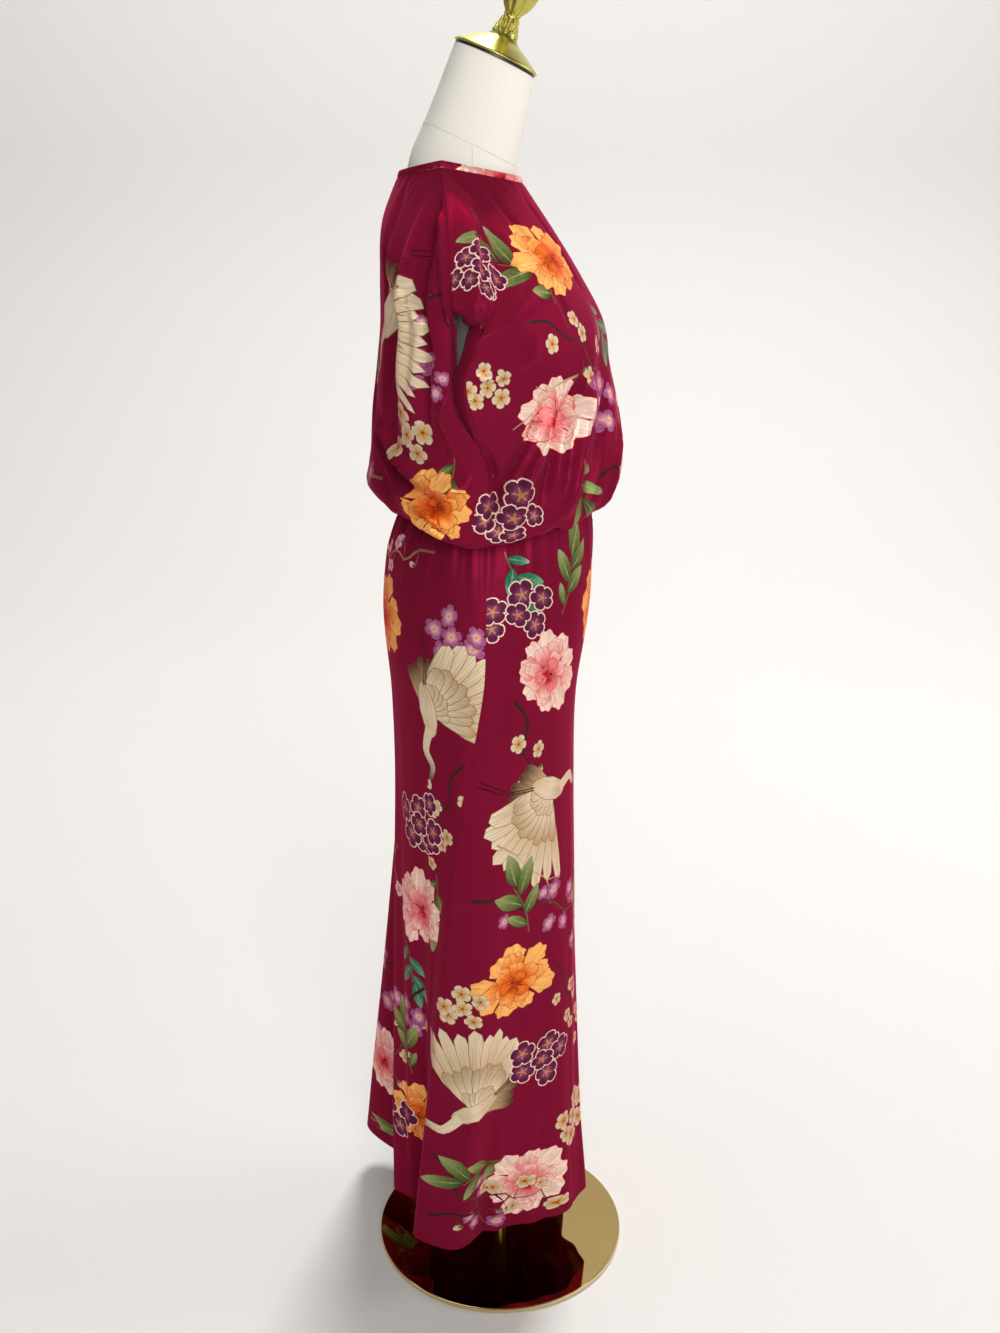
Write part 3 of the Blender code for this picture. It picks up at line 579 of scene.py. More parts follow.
def drawBranch(size, rng, bark, width, flower, bloom):
    line = [np.zeros(2)]
    for index in range(5):
        line.append(line[-1] + (size / 5.0, size * rng.uniform(0.03, 0.1) * (1.0 if index % 2 else -1.0)))
    drawing = []
    addStroke(drawing, line, width, 0.3 * width, bark, 3)
    blooms = []
    for index in range(1, 6):
        side = 1.0 if index % 2 else -1.0
        start = line[index]
        end = start + np.array((rng.uniform(0.05, 0.14), side * rng.uniform(0.1, 0.2))) * size
        addStroke(drawing, (start, 0.5 * (start + end) + (0.0, side * 0.02 * size), end), 0.45 * width,
                  0.2 * width, bark, 3)
        blooms.append(end)
        if index > 2:
            blooms.append(start + (rng.uniform(-0.02, 0.02) * size, -side * 0.5 * flower))
    for spot in blooms:
        if rng.uniform() < 0.18:
            drawing += drawBud(0.55 * flower, rng.uniform(0.0, 6.0), *bloom[:2], spot)
            continue
        flowerlet = drawBlossom(flower * rng.uniform(0.75, 1.1), *bloom, rng.uniform(0.0, 1.2))
        drawing += moved(flowerlet, spot, rng.uniform(0.0, 3.0), rng.uniform(0.75, 1.0))
    return drawing


def drawTwig(size, rng, bark, width):
    line = [np.zeros(2)]
    for index in range(4):
        line.append(line[-1] + (size / 4.0, size * rng.uniform(-0.12, 0.12)))
    drawing = []
    addStroke(drawing, line, width, 0.4 * width, bark)
    for index in (1, 2, 3):
        end = line[index] + np.array((0.1, (-1.0) ** index * 0.13)) * size
        addStroke(drawing, (line[index], end), 0.6 * width, 0.3 * width, bark, 2)
    return drawing


def addFan(drawing, root, first, last, count, lengths, width, colours, rim):
    for index in range(count):
        share = index / (count - 1.0)
        length = lengths[0] + (lengths[1] - lengths[0]) * share ** 1.2
        length *= 1.0 - 0.06 * (index % 2)
        addPetal(drawing, root, first + (last - first) * share, length, width * (0.8 + 0.4 * share), colours,
                 rim, 0.0006, 0.45, 0.3, 0.55, 7)


def drawBird(span):
    drawing = []
    edge = stops("earth")
    for root, first, last, count, lengths, width, colours in (  # tail, then three rows of wing feathers
            ((0.02, 0.0), 2.6, 3.5, 5, (0.26, 0.2), 0.05, ("cream", "sand", "bark")),
            (origin, 1.0, 2.5, 10, (0.5, 0.34), 0.075, ("sand", "cream", "ivory")),
            ((0.01, 0.0), 1.05, 2.5, 8, (0.28, 0.22), 0.07, ("cream", "ivory", "sand")),
            ((0.02, -0.01), 1.2, 2.6, 6, (0.15, 0.13), 0.06, ("ivory", "ivory", "cream"))):
        addFan(drawing, np.array(root) * span, first, last, count, np.array(lengths) * span, width * span,
               stops(*colours), edge)
    addPetal(drawing, (-0.1 * span, 0.0), 0.06, 0.26 * span, 0.1 * span, stops("cream", "ivory", "cream"),
             edge, 0.0006, 0.6, 0.6)
    neck = np.array(((0.12, 0.0), (0.22, -0.05), (0.3, -0.02), (0.37, -0.06))) * span
    addStroke(drawing, neck, 0.055 * span, 0.02 * span, stops("ivory", "ivory", "bark"))
    addPetal(drawing, (0.36 * span, -0.058 * span), -0.35, 0.055 * span, 0.034 * span,
             stops("cream", "ivory", "ivory"), edge, 0.0005)
    addPetal(drawing, (0.37 * span, -0.075 * span), -0.3, 0.03 * span, 0.014 * span, stops("red"))
    addPetal(drawing, (0.405 * span, -0.074 * span), -0.3, 0.085 * span, 0.01 * span,
             stops("bark", "bark", "black"), rise=0.1, fall=0.8, sides=4)
    for shift in (0.0, 0.012):
        legs = np.array(((-0.08, 0.01 + shift), (-0.2, 0.04 + shift), (-0.36, 0.035 + 2.0 * shift))) * span
        addStroke(drawing, legs, 0.0016, 0.001, stops("bark", "bark", "black"))
    return drawing


blossomKinds = {  # petals, rim, heart, rim width
    "cream": (stops("gold", "cream", "ivory"), stops("earth"), stops("rust", "gold", "rust"), 0.0005),
    "plum": (stops("mauve", "plum", "plum"), stops("rose", "blush", "blush"), stops("gold"), 0.0016),
    "mauve": (stops("rose", "mauve", "mauve"), stops("plum"), stops("gold", "amber", "gold"), 0.0006),
    "pink": (stops("coral", "rose", "blush"), stops("mauve"), stops("gold"), 0.0005)}
peonyKinds = {  # inks from the heart out, rim
    "orange": (("rust", "orange", "amber"), stops("rust")),
    "pink": (("red", "pink", "blush"), stops("wine", "coral", "coral"))}
leafKinds = {"teal": stops("teal", "teal", "mint"), "green": stops("moss", "leaf", "sage")}


def drawMotif(kind, size, seed):
    rng = np.random.default_rng(seed)
    family, _, shade = kind.partition(":")
    if family == "peony":
        return drawPeony(size, rng, *peonyKinds[shade])
    if family == "blossom":
        return drawBlossom(size, *blossomKinds[shade], rng.uniform(0.0, 1.2))
    if family == "cluster":
        return drawCluster(size, int(rng.integers(6, 9)), 0.62 * size, blossomKinds[shade], rng)
    if family == "branch":
        bark = ("bark", "bark", "earth") if shade in ("mauve", "cream") else ("earth", "sand", "sand")
        return drawBranch(size, rng, stops(*bark), 0.026 * size, 0.14 * size, blossomKinds[shade])
    if family == "leaves":
        return drawLeaves(size, rng, leafKinds[shade], stops("sage"))
    if family == "twig":
        return drawTwig(size, rng, stops("sand", "cream", "sand"), 0.0028)
    return drawBird(size)


# Cloth: a panel is a surface over shares across (-1 to 1) and down (0 to 1)

def walk(panel, starts, offsets, steps=5):  # metres over the cloth, as shares of the panel
    place = starts.copy()
    for _ in range(steps):
        across = np.clip(place[:, 0], -0.96, 0.96)
        down = np.clip(place[:, 1], 0.02, 0.98)
        acrossSlope, downSlope = surfaceSlopes(panel["base"], across, down, 0.004)
        width = np.linalg.norm(acrossSlope, axis=1)
        lean = (acrossSlope * downSlope).sum(axis=1) / width
        fall = np.sqrt(np.maximum((downSlope ** 2).sum(axis=1) - lean ** 2, 1e-8))
        downStep = offsets[:, 1] / steps / fall
        place[:, 0] += (offsets[:, 0] / steps - downStep * lean) / width
        place[:, 1] += downStep
    return place


def loopArea(line):
    after = np.roll(line, -1, axis=0)
    return 0.5 * (line[:, 0] * after[:, 1] - after[:, 0] * line[:, 1]).sum()


def thinned(line, slack=0.00014):  # without every second point that lies nearly on its neighbours' chord
    before = np.roll(line, 1, axis=0)
    run = np.roll(line, -1, axis=0) - before
    offset = line - before
    away = np.abs(run[:, 0] * offset[:, 1] - run[:, 1] * offset[:, 0]) / (np.linalg.norm(run, axis=1) + 1e-9)
    kept = line[(away > slack) | (np.arange(len(line)) % 2 == 0)]
    return kept if len(kept) > 4 else line


def printPatches(panel):
    patches = []
    for index, (kind, across, down, size, turn) in enumerate(panel["motifs"]):
        drawing = moved(drawMotif(kind, size, panel["seed"] + index), origin, math.radians(turn))
        for patch in drawing:
            patch["centre"] = (across, down)
        patches += drawing
    counts = [len(patch["outline"]) + 3 for patch in patches]
    offsets = np.concatenate([np.concatenate((patch["outline"], patch["frame"])) for patch in patches])
    starts = np.repeat(np.array([patch["centre"] for patch in patches], float), counts, axis=0)
    places = walk(panel, starts, offsets) * panel["scale"]
    for patch, part in zip(patches, np.split(places, np.cumsum(counts)[:-1])):
        line = thinned(thinned(part[:-3]))
        patch["outline"] = line if loopArea(line) > 0.0 else line[::-1]
        patch["frame"] = part[-3:]
    limit = np.array(panel["scale"])
    return [patch for patch in patches
            if (patch["outline"].max(axis=0) > (-limit[0], 0.0)).all()
            and (patch["outline"].min(axis=0) < limit).all()]


def gridPoints(panel):  # points inside the panel, in metres, closer together beside its hem and seams
    wide, long = panel["scale"]
    step = panel["step"]
    rows = int(round(long / (step * 0.87)))
    columns = int(round(2.0 * wide / step))
    margins = seamSteps if panel["seamed"] else ()
    clear = 1.0 - max((0.0,) + margins) / wide
    down = np.arange(1, rows) / rows * long
    points = []
    for row in range(1, rows):
        shift = 0.5 if row % 2 else 0.0
        across = (np.arange(1, columns) + shift * 0.98 - 0.5 * 0.98) / columns * 2.0 - 1.0
        across = across[np.abs(across) < clear] * wide
        points.append(np.stack((across, np.full(len(across), row / rows * long)), 1))
    across = (np.arange(1, 2 * columns) / columns - 1.0) * wide
    points += [np.stack((across, np.full(len(across), long - margin)), 1) for margin in hemSteps]
    points += [np.stack((np.full(len(down), side * (wide - margin)), down), 1)
               for margin in margins for side in (-1.0, 1.0)]
    return np.concatenate(points)


def edgePoints(panel):
    wide, long = panel["scale"]
    step = panel["step"]
    columns = int(round(2.0 * wide / step))
    rows = int(round(long / step))
    across = np.linspace(-wide, wide, columns + 1)
    down = np.linspace(0.0, long, rows + 1)
    sides = ((across[:-1], np.zeros(columns)), (np.full(rows, wide), down[:-1]),
             (across[:0:-1], np.full(columns, long)), (np.full(rows, -wide), down[:0:-1]))
    return np.concatenate([np.stack(side, 1) for side in sides])


def inkOwners(middles, patches):  # number of the last patch over each triangle's middle, 0 for the ground
    owner = np.zeros(len(middles), int)
    order = np.argsort(middles[:, 1])
    heights = middles[order, 1]
    for number, patch in enumerate(patches, 1):
        line = patch["outline"]
        low, high = line.min(axis=0), line.max(axis=0)
        near = order[np.searchsorted(heights, low[1]):np.searchsorted(heights, high[1])]
        near = near[(middles[near, 0] > low[0]) & (middles[near, 0] < high[0])]
        across, down = middles[near, 0][:, None], middles[near, 1][:, None]
        ends = np.roll(line, -1, axis=0)
        before, after = line[:, 1] > down, ends[:, 1] > down
        run, rise = (ends - line).T
        meeting = line[:, 0] + (down - line[:, 1]) / np.where(rise == 0.0, 1.0, rise) * run
        turns = ((before.astype(int) - after) * (across < meeting)).sum(axis=1)
        owner[near[turns != 0]] = number
    return owner


def cutPanel(panel, patches):  # triangles that follow every outline of the print
    outlines = [edgePoints(panel)] + [patch["outline"] for patch in patches]
    points = np.concatenate(outlines + [gridPoints(panel)])
    edges = []
    for outline in outlines:
        count = len(outline)
        edges += [(len(edges) + step, len(edges) + (step + 1) % count) for step in range(count)]
    found = delaunay_2d_cdt([Vector(point) for point in points], edges, [], 0, 2e-5, False)
    places = np.array([tuple(place) for place in found[0]])
    triangles = np.array(found[2])
    middles = places[triangles].mean(axis=1)
    wide, long = panel["scale"]
    inside = (np.abs(middles[:, 0]) < wide) & (middles[:, 1] > 0.0) & (middles[:, 1] < long)
    owner = inkOwners(middles[inside], patches)
    used, triangles = np.unique(triangles[inside], return_inverse=True)
    return places[used], triangles.reshape(-1, 3), owner


def cornerInks(panel, patches, places, triangles, owner):
    corners = places[triangles]
    colours = np.tile(panel["ground"], (len(triangles), 3, 1))
    marks = np.zeros((len(triangles), 3, 3))
    frames = np.stack([patch["frame"] for patch in patches])
    paints = np.stack([patch["stops"] for patch in patches])
    grains = np.array([patch["grain"] for patch in patches])
    printed = owner > 0
    own = owner[printed] - 1
    axes = np.stack((frames[own, 1] - frames[own, 0], frames[own, 2] - frames[own, 0]), axis=2)
    offsets = corners[printed] - frames[own, 0][:, None, :]
    shares = np.einsum("nij,nkj->nki", np.linalg.inv(axes + np.eye(2) * 1e-9), offsets)
    along = np.clip(shares[..., 0], 0.0, 1.0)
    paint = paints[own]
    early = np.clip(2.0 * along, 0.0, 1.0)[..., None]
    late = np.clip(2.0 * along - 1.0, 0.0, 1.0)[..., None]
    blend = paint[:, None, 0] * (1.0 - early) + paint[:, None, 1] * early
    colours[printed] = blend * (1.0 - late) + paint[:, None, 2] * late
    marks[printed] = np.stack((along, np.clip(shares[..., 1], -1.5, 1.5),
                               np.broadcast_to(grains[own][:, None], along.shape)), axis=2)
    return colours, marks


def rimLoop(triangles):  # vertices round the panel's edge, in order
    edges = np.concatenate((triangles[:, (0, 1)], triangles[:, (1, 2)], triangles[:, (2, 0)]))
    keys = np.sort(edges, axis=1)
    _, first, counts = np.unique(keys, axis=0, return_index=True, return_counts=True)
    following = dict(edges[first[counts == 1]].tolist())
    loop = [next(iter(following))]
    while following[loop[-1]] != loop[0]:
        loop.append(following[loop[-1]])
    return np.array(loop)


def cutLining(panel, border):  # plain triangles for the wrong side, on the same edge points
    inner = dict(panel, step=panel.get("liningStep", 1.1) * panel["step"])
    count = len(border)
    points = np.concatenate((border, gridPoints(inner)))
    found = delaunay_2d_cdt([Vector(point) for point in points], [], [list(range(count))], 1, 1e-7)
    match = np.full(count, -1)
    for index, sources in enumerate(found[3]):
        for source in sources:
            if source < count:
                match[source] = index
    return np.array([tuple(place) for place in found[0]]), np.array(found[2]), match


def writePrint(mesh, colours, marks):
    for name, kind, key, values in (("print", "FLOAT_COLOR", "color", np.c_[colours, np.ones(len(colours))]),
                                    ("stroke", "FLOAT_VECTOR", "vector", marks)):
        field = mesh.attributes.new(name, kind, "CORNER")
        field.data.foreach_set(key, values.astype(np.float32).ravel())


def newObject(name, data, *materials):  # a new object in the scene
    for material in materials:
        data.materials.append(material)
    piece = bpy.data.objects.new(name, data)
    bpy.context.scene.collection.objects.link(piece)
    return piece


def addCloth(name, panel, materials):
    patches = printPatches(panel)
    places, triangles, owner = cutPanel(panel, patches)
    sign = outwardSign(panel["surface"], panel["outward"])

    def laid(flat):
        across, down = (flat / panel["scale"]).T
        return panel["surface"](across, down), surfaceNormals(panel["surface"], across, down, sign)
    outer, normals = laid(places)
    corners = outer[triangles]
    facing = np.cross(corners[:, 1] - corners[:, 0], corners[:, 2] - corners[:, 0])
    turnedOver = (facing * normals[triangles[:, 0]]).sum() < 0.0
    if turnedOver:
        triangles = triangles[:, ::-1]
    rim = rimLoop(triangles)
    innerPlaces, lining, match = cutLining(panel, places[rim][::-1] if turnedOver else places[rim])
    match = match[::-1] if turnedOver else match
    inner, innerNormals = laid(innerPlaces)
    depth = np.full(len(inner), panel.get("thickness", clothThickness) + liningDrop)
    depth[match] -= liningDrop
    inner -= innerNormals * depth[:, None]
    lining = lining if turnedOver else lining[:, ::-1]
    count = len(outer)
    after = np.roll(np.arange(len(rim)), -1)
    rimQuads = np.stack((rim[after], rim, match + count, match[after] + count), axis=1)
    faces = triangles.tolist() + (lining + count).tolist() + rimQuads.tolist()
    mesh = bpy.data.meshes.new(name)
    mesh.from_pydata(np.concatenate((outer, inner)).tolist(), [], faces)
    colours, marks = cornerInks(panel, patches, places, triangles, owner)
    plain = 3 * len(lining) + 4 * len(rimQuads)
    writePrint(mesh, np.concatenate((colours.reshape(-1, 3), np.tile(panel["ground"], (plain, 1)))),
               np.concatenate((marks.reshape(-1, 3), np.zeros((plain, 3)))))
    writeUnwrap(mesh, panel, places[triangles], innerPlaces[lining], places[rim])
    slots = np.zeros(len(faces), np.int32)
    slots[len(triangles):len(triangles) + len(lining)] = 1
    mesh.polygons.foreach_set("material_index", slots)
    mesh.shade_smooth()
    mesh.normals_split_custom_set_from_vertices(np.concatenate((normals, -innerNormals)).tolist())
    piece = newObject(name, mesh, *materials)
    piece.cycles.shadow_terminator_geometry_offset = 0.2  # no jagged edge where a fold turns from the light
    piece.cycles.shadow_terminator_offset = 0.15
    print("cloth", name, "triangles", len(triangles) + len(lining) + 2 * len(rimQuads))
    return piece


unwrap = {"size": (0.46, 0.92), "beside": 0.5, "corner": (0.02, 0.04), "rim": 0.008}


def writeUnwrap(mesh, panel, outside, inside, rim):  # outside and inside lie side by side
    size = np.array(unwrap["size"])

    def flat(places):
        wide, long = panel["scale"]
        return (places + (wide, 0.0)) / (2.0 * wide, long) * size
    edge = flat(rim)
    push = np.where(edge < 1e-4, -unwrap["rim"], 0.0) + np.where(edge > size - 1e-4, unwrap["rim"], 0.0)
    after = np.roll(np.arange(len(rim)), -1)
    strip = np.stack((edge[after], edge, edge + push, (edge + push)[after]), axis=1)
    parts = (flat(outside), flat(inside) + (unwrap["beside"], 0.0), strip)
    layout = np.concatenate([part.reshape(-1, 2) for part in parts]) + unwrap["corner"]
    mesh.uv_layers.new(name="OFBake").data.foreach_set("uv", layout.astype(np.float32).ravel())


armholeHem = {"width": 0.022, "least": 0.001, "gap": 0.0004, "bow": 0.0018, "top": 0.004, "foot": 0.505,
              "topTaper": 0.05, "footTaper": 0.1, "steps": 6, "rows": 60}


def addArmholeHem(name, panel, inward, material):  # the cloth turned in along both armholes
    rows, steps, foot = (armholeHem[key] for key in ("rows", "steps", "foot"))
    down = np.linspace(armholeHem["top"], foot, rows)
    width = armholeHem["width"] * smoothStep(down / armholeHem["topTaper"])
    width = width * smoothStep((foot - down) / armholeHem["footTaper"]) + armholeHem["least"]
    share = np.linspace(0.0, 1.0, steps)[None, :, None]
    loop = [index * steps for index in range(rows)] + [(rows - 1) * steps + step for step in range(1, steps)]
    loop += [index * steps + steps - 1 for index in range(rows - 2, -1, -1)] + list(range(steps - 2, 0, -1))
    count = rows * steps
    vertices = np.zeros((0, 3))
    faces = []
    for side in (-1.0, 1.0):
        edge = panel["surface"](np.full(rows, side), down)
        aim = np.array(inward) * (-side, 1.0, 1.0)
        aim /= np.linalg.norm(aim)
        flat = np.cross(np.gradient(edge, axis=0), aim)
        flat *= side / np.linalg.norm(flat, axis=1)[:, None]
        sheet = edge[:, None] + aim * (armholeHem["gap"] + width[:, None, None] * share)
        first = len(vertices)
        for lift in (0.0, clothThickness):
            bow = armholeHem["bow"] * np.sin(math.pi * share) + lift
            vertices = np.concatenate((vertices, (sheet + flat[:, None] * bow).reshape(-1, 3)))
        for index in range(rows - 1):
            for step in range(steps - 1):
                here = first + index * steps + step
                faces.append((here, here + 1, here + steps + 1, here + steps))
                faces.append(tuple(corner + count for corner in reversed(faces[-1])))
        for here, after in zip(loop, loop[1:] + loop[:1]):
            faces.append((first + here, first + after, first + after + count, first + here + count))
    mesh = bpy.data.meshes.new(name)
    mesh.from_pydata(vertices.tolist(), [], faces)
    mesh.shade_smooth()
    corners = len(mesh.loops)
    writePrint(mesh, np.tile(panel["ground"], (corners, 1)), np.zeros((corners, 3)))
    return newObject(name, mesh, material)


def seamGroove(distance):  # how far the cloth dips towards a seam, by metres from it
    return -seamDip * (1.0 - smoothStep(distance / seamReach))


def skirtShape(isFront):
    def surface(across, down):
        plain = skirtSurface(across, down, isFront)
        outward = plain * (1.0, 1.0, 0.0) - (0.0, ringCentreY, 0.0)
        outward /= np.linalg.norm(outward, axis=1)[:, None]
        return plain + outward * seamGroove((1.0 - np.abs(across)) * skirtHalf)[:, None]
    return surface


def topShape(rows, neckMiddle, folds, creases, panel):
    def base(across, down):
        return topSurface(across, down, rows, neckMiddle)
    sign = outwardSign(base, panel["outward"])
    wide, long = panel["scale"]
    last = len(rows)

    def surface(across, down):
        reach = np.abs(across)
        fromSide = (1.0 - reach) * wide
        edge = np.minimum(1.0, np.minimum(foldFade * (1.0 - reach), foldFade * down))
        depth = foldDepth(folds, across, down) * edge
        isSeam = smoothStep((down * last - armholeRow + 0.4) * 1.5)
        held = 1.0 - isSeam * (1.0 - smoothStep(fromSide / creaseLook["fromSeam"]))
        held = held * smoothStep(down * long / creaseLook["fromNeck"]) * smoothStep((1.0 - down) / 0.06)
        depth += creaseDepth(creases, across, down, panel["scale"]) * held
        waist = smoothStep((down - 0.72) / 0.16) * (1.0 - smoothStep((down - 0.93) / 0.06))
        turn = across * puckers["waistTurn"]
        turn = turn * 5.0 + 1.5 * np.sin(turn * 1.3)
        depth += waist * puckers["waist"] * np.cos(turn) * (1.0 - reach ** 6)
        neck = (1.0 - smoothStep(down / 0.07)) * smoothStep((neckShare - reach) * 12.0)
        turn = across * puckers["neckTurn"] + 2.0 * np.sin(across * 17.0)
        depth += neck * puckers["neck"] * np.cos(turn) * smoothStep(down / 0.01)
        depth += seamGroove(fromSide) * smoothStep((down * last - armholeRow) * 2.0)
        depth += seamGroove(down * long) * smoothStep((reach - neckShare) * 20.0)
        return base(across, down) + surfaceNormals(base, across, down, sign) * depth[:, None]
    return base, surface


def neckShape(panel):
    centre = np.array((0.0, 0.5 * (frontNeck[0] + backNeck[0])))

    def surface(across, down):  # across runs all round from the middle of the back
        turn = math.pi * across
        isFront = np.cos(turn) > 0.0
        middleY, middleZ = (np.where(isFront, front, back) for front, back in zip(frontNeck, backNeck))
        bend = np.abs(np.cos(turn))
        line = np.stack((neckSide[0] * np.sin(turn), neckSide[1] + (middleY - neckSide[1]) * bend,
                         neckSide[2] + (middleZ - neckSide[2]) * bend), axis=1)
        inward = centre - line[:, :2]
        inward /= np.linalg.norm(inward, axis=1)[:, None]
        upward = np.c_[inward * panel["lean"], np.ones(len(across))]
        upward /= np.linalg.norm(upward, axis=1)[:, None]
        rise = panel["foot"] + panel["height"] * (1.0 - down)
        ripple = np.cos(turn * 46.0 + 2.0 * np.sin(turn * 5.0))
        swell = panel["swell"] * np.sin(math.pi * down) + panel["puckers"] * ripple * down
        return line + upward * rise[:, None] - np.c_[inward, np.zeros(len(across))] * swell[:, None]
    return surface


# Motif, share across and down, size in metres, turn in degrees: this layout is the builder's own
frontTop = {
    "scale": (0.31, 0.42), "step": 0.004, "seamed": True, "seed": 100, "node": "top_front",
    "outward": (0.0, -1.0, 0.0),
    "motifs": (
        ("leaves:green", -0.47, 0.2, 0.12, 250.0), ("leaves:teal", -0.2, 0.24, 0.09, 60.0),
        ("peony:orange", -0.34, 0.11, 0.115, 20.0), ("branch:cream", -0.66, 0.2, 0.15, 35.0),
        ("cluster:plum", -0.76, 0.06, 0.04, 10.0), ("cluster:cream", -0.9, 0.34, 0.036, 0.0),
        ("leaves:green", -0.58, 0.56, 0.11, 60.0), ("peony:pink", -0.64, 0.45, 0.104, 0.0),
        ("twig", -0.46, 0.38, 0.11, 160.0), ("cluster:mauve", -0.3, 0.46, 0.05, 20.0),
        ("branch:cream", -0.4, 0.64, 0.15, 15.0), ("cluster:plum", -0.86, 0.68, 0.052, 30.0),
        ("branch:pink", 0.02, 0.34, 0.16, 110.0), ("peony:pink", 0.1, 0.14, 0.11, 60.0),
        ("leaves:green", 0.2, 0.08, 0.1, -40.0), ("bird", 0.4, 0.34, 0.25, -20.0),
        ("cluster:plum", 0.08, 0.66, 0.055, 40.0), ("cluster:cream", 0.76, 0.42, 0.05, 0.0),
        ("peony:orange", 0.6, 0.66, 0.1, 10.0), ("leaves:green", 0.72, 0.62, 0.08, 30.0),
        ("cluster:mauve", 0.66, 0.1, 0.05, 0.0), ("branch:cream", 0.86, 0.22, 0.13, 120.0))}
backTop = {
    "scale": (0.31, 0.42), "step": 0.004, "seamed": True, "seed": 200, "node": "top_back",
    "outward": (0.0, 1.0, 0.0),
    "motifs": (
        ("branch:mauve", -0.9, 0.05, 0.13, 85.0), ("cluster:mauve", -0.82, 0.3, 0.04, 0.0),
        ("bird", -0.4, 0.22, 0.26, 75.0), ("cluster:cream", -0.6, 0.5, 0.05, 0.0),
        ("leaves:green", -0.88, 0.52, 0.1, 80.0), ("peony:orange", -0.8, 0.66, 0.096, 30.0),
        ("peony:pink", 0.1, 0.24, 0.11, 0.0), ("leaves:green", 0.2, 0.16, 0.1, -30.0),
        ("leaves:teal", 0.0, 0.34, 0.09, 160.0), ("branch:cream", 0.36, 0.5, 0.18, 20.0),
        ("cluster:plum", 0.7, 0.3, 0.055, 0.0), ("peony:orange", 0.5, 0.74, 0.09, 0.0),
        ("twig", 0.16, 0.6, 0.12, 0.0), ("cluster:mauve", -0.1, 0.66, 0.055, 0.0),
        ("branch:pink", -0.36, 0.66, 0.15, 20.0), ("cluster:cream", 0.64, 0.06, 0.045, 0.0))}
frontSkirt = {
    "scale": (0.28, 1.03), "step": 0.006, "liningStep": 1.5, "seamed": True, "seed": 300,
    "node": "skirt_front", "outward": (0.0, -1.0, 0.0),
    "motifs": (
        ("leaves:teal", -0.9, 0.055, 0.09, 60.0), ("cluster:plum", -0.82, 0.125, 0.056, 0.0),
        ("leaves:green", -0.52, 0.135, 0.11, -70.0), ("peony:pink", -0.56, 0.2, 0.118, 40.0),
        ("branch:cream", -0.8, 0.225, 0.17, 75.0), ("bird", -0.46, 0.345, 0.29, 20.0),
        ("twig", -0.76, 0.4, 0.14, 60.0), ("branch:mauve", -0.84, 0.475, 0.2, 20.0),
        ("leaves:green", -0.5, 0.535, 0.12, -110.0), ("peony:orange", -0.56, 0.6, 0.12, 0.0),
        ("cluster:cream", -0.8, 0.625, 0.046, 0.0), ("branch:cream", -0.3, 0.6, 0.15, 60.0),
        ("bird", -0.66, 0.78, 0.3, 165.0), ("cluster:plum", -0.36, 0.735, 0.058, 20.0),
        ("branch:mauve", -0.86, 0.85, 0.17, 60.0), ("leaves:green", -0.52, 0.88, 0.12, 170.0),
        ("peony:pink", -0.42, 0.925, 0.124, 0.0), ("branch:cream", -0.84, 0.955, 0.18, 4.0),
        ("peony:orange", -0.08, 0.14, 0.11, 0.0), ("leaves:teal", 0.04, 0.1, 0.1, -50.0),
        ("branch:mauve", -0.16, 0.46, 0.18, 80.0), ("cluster:cream", -0.1, 0.86, 0.052, 0.0),
        ("peony:pink", 0.22, 0.4, 0.12, 40.0), ("leaves:green", 0.12, 0.46, 0.12, 120.0),
        ("branch:cream", 0.4, 0.22, 0.19, 100.0), ("bird", 0.62, 0.52, 0.28, 60.0),
        ("branch:mauve", 0.3, 0.7, 0.2, 60.0), ("peony:orange", 0.2, 0.92, 0.115, 0.0),
        ("leaves:green", 0.3, 0.86, 0.11, -40.0), ("cluster:plum", 0.8, 0.28, 0.055, 0.0),
        ("peony:pink", 0.74, 0.8, 0.12, 0.0), ("branch:cream", 0.5, 0.95, 0.19, 5.0),
        ("cluster:mauve", 0.86, 0.08, 0.05, 0.0), ("twig", 0.48, 0.38, 0.14, 80.0))}
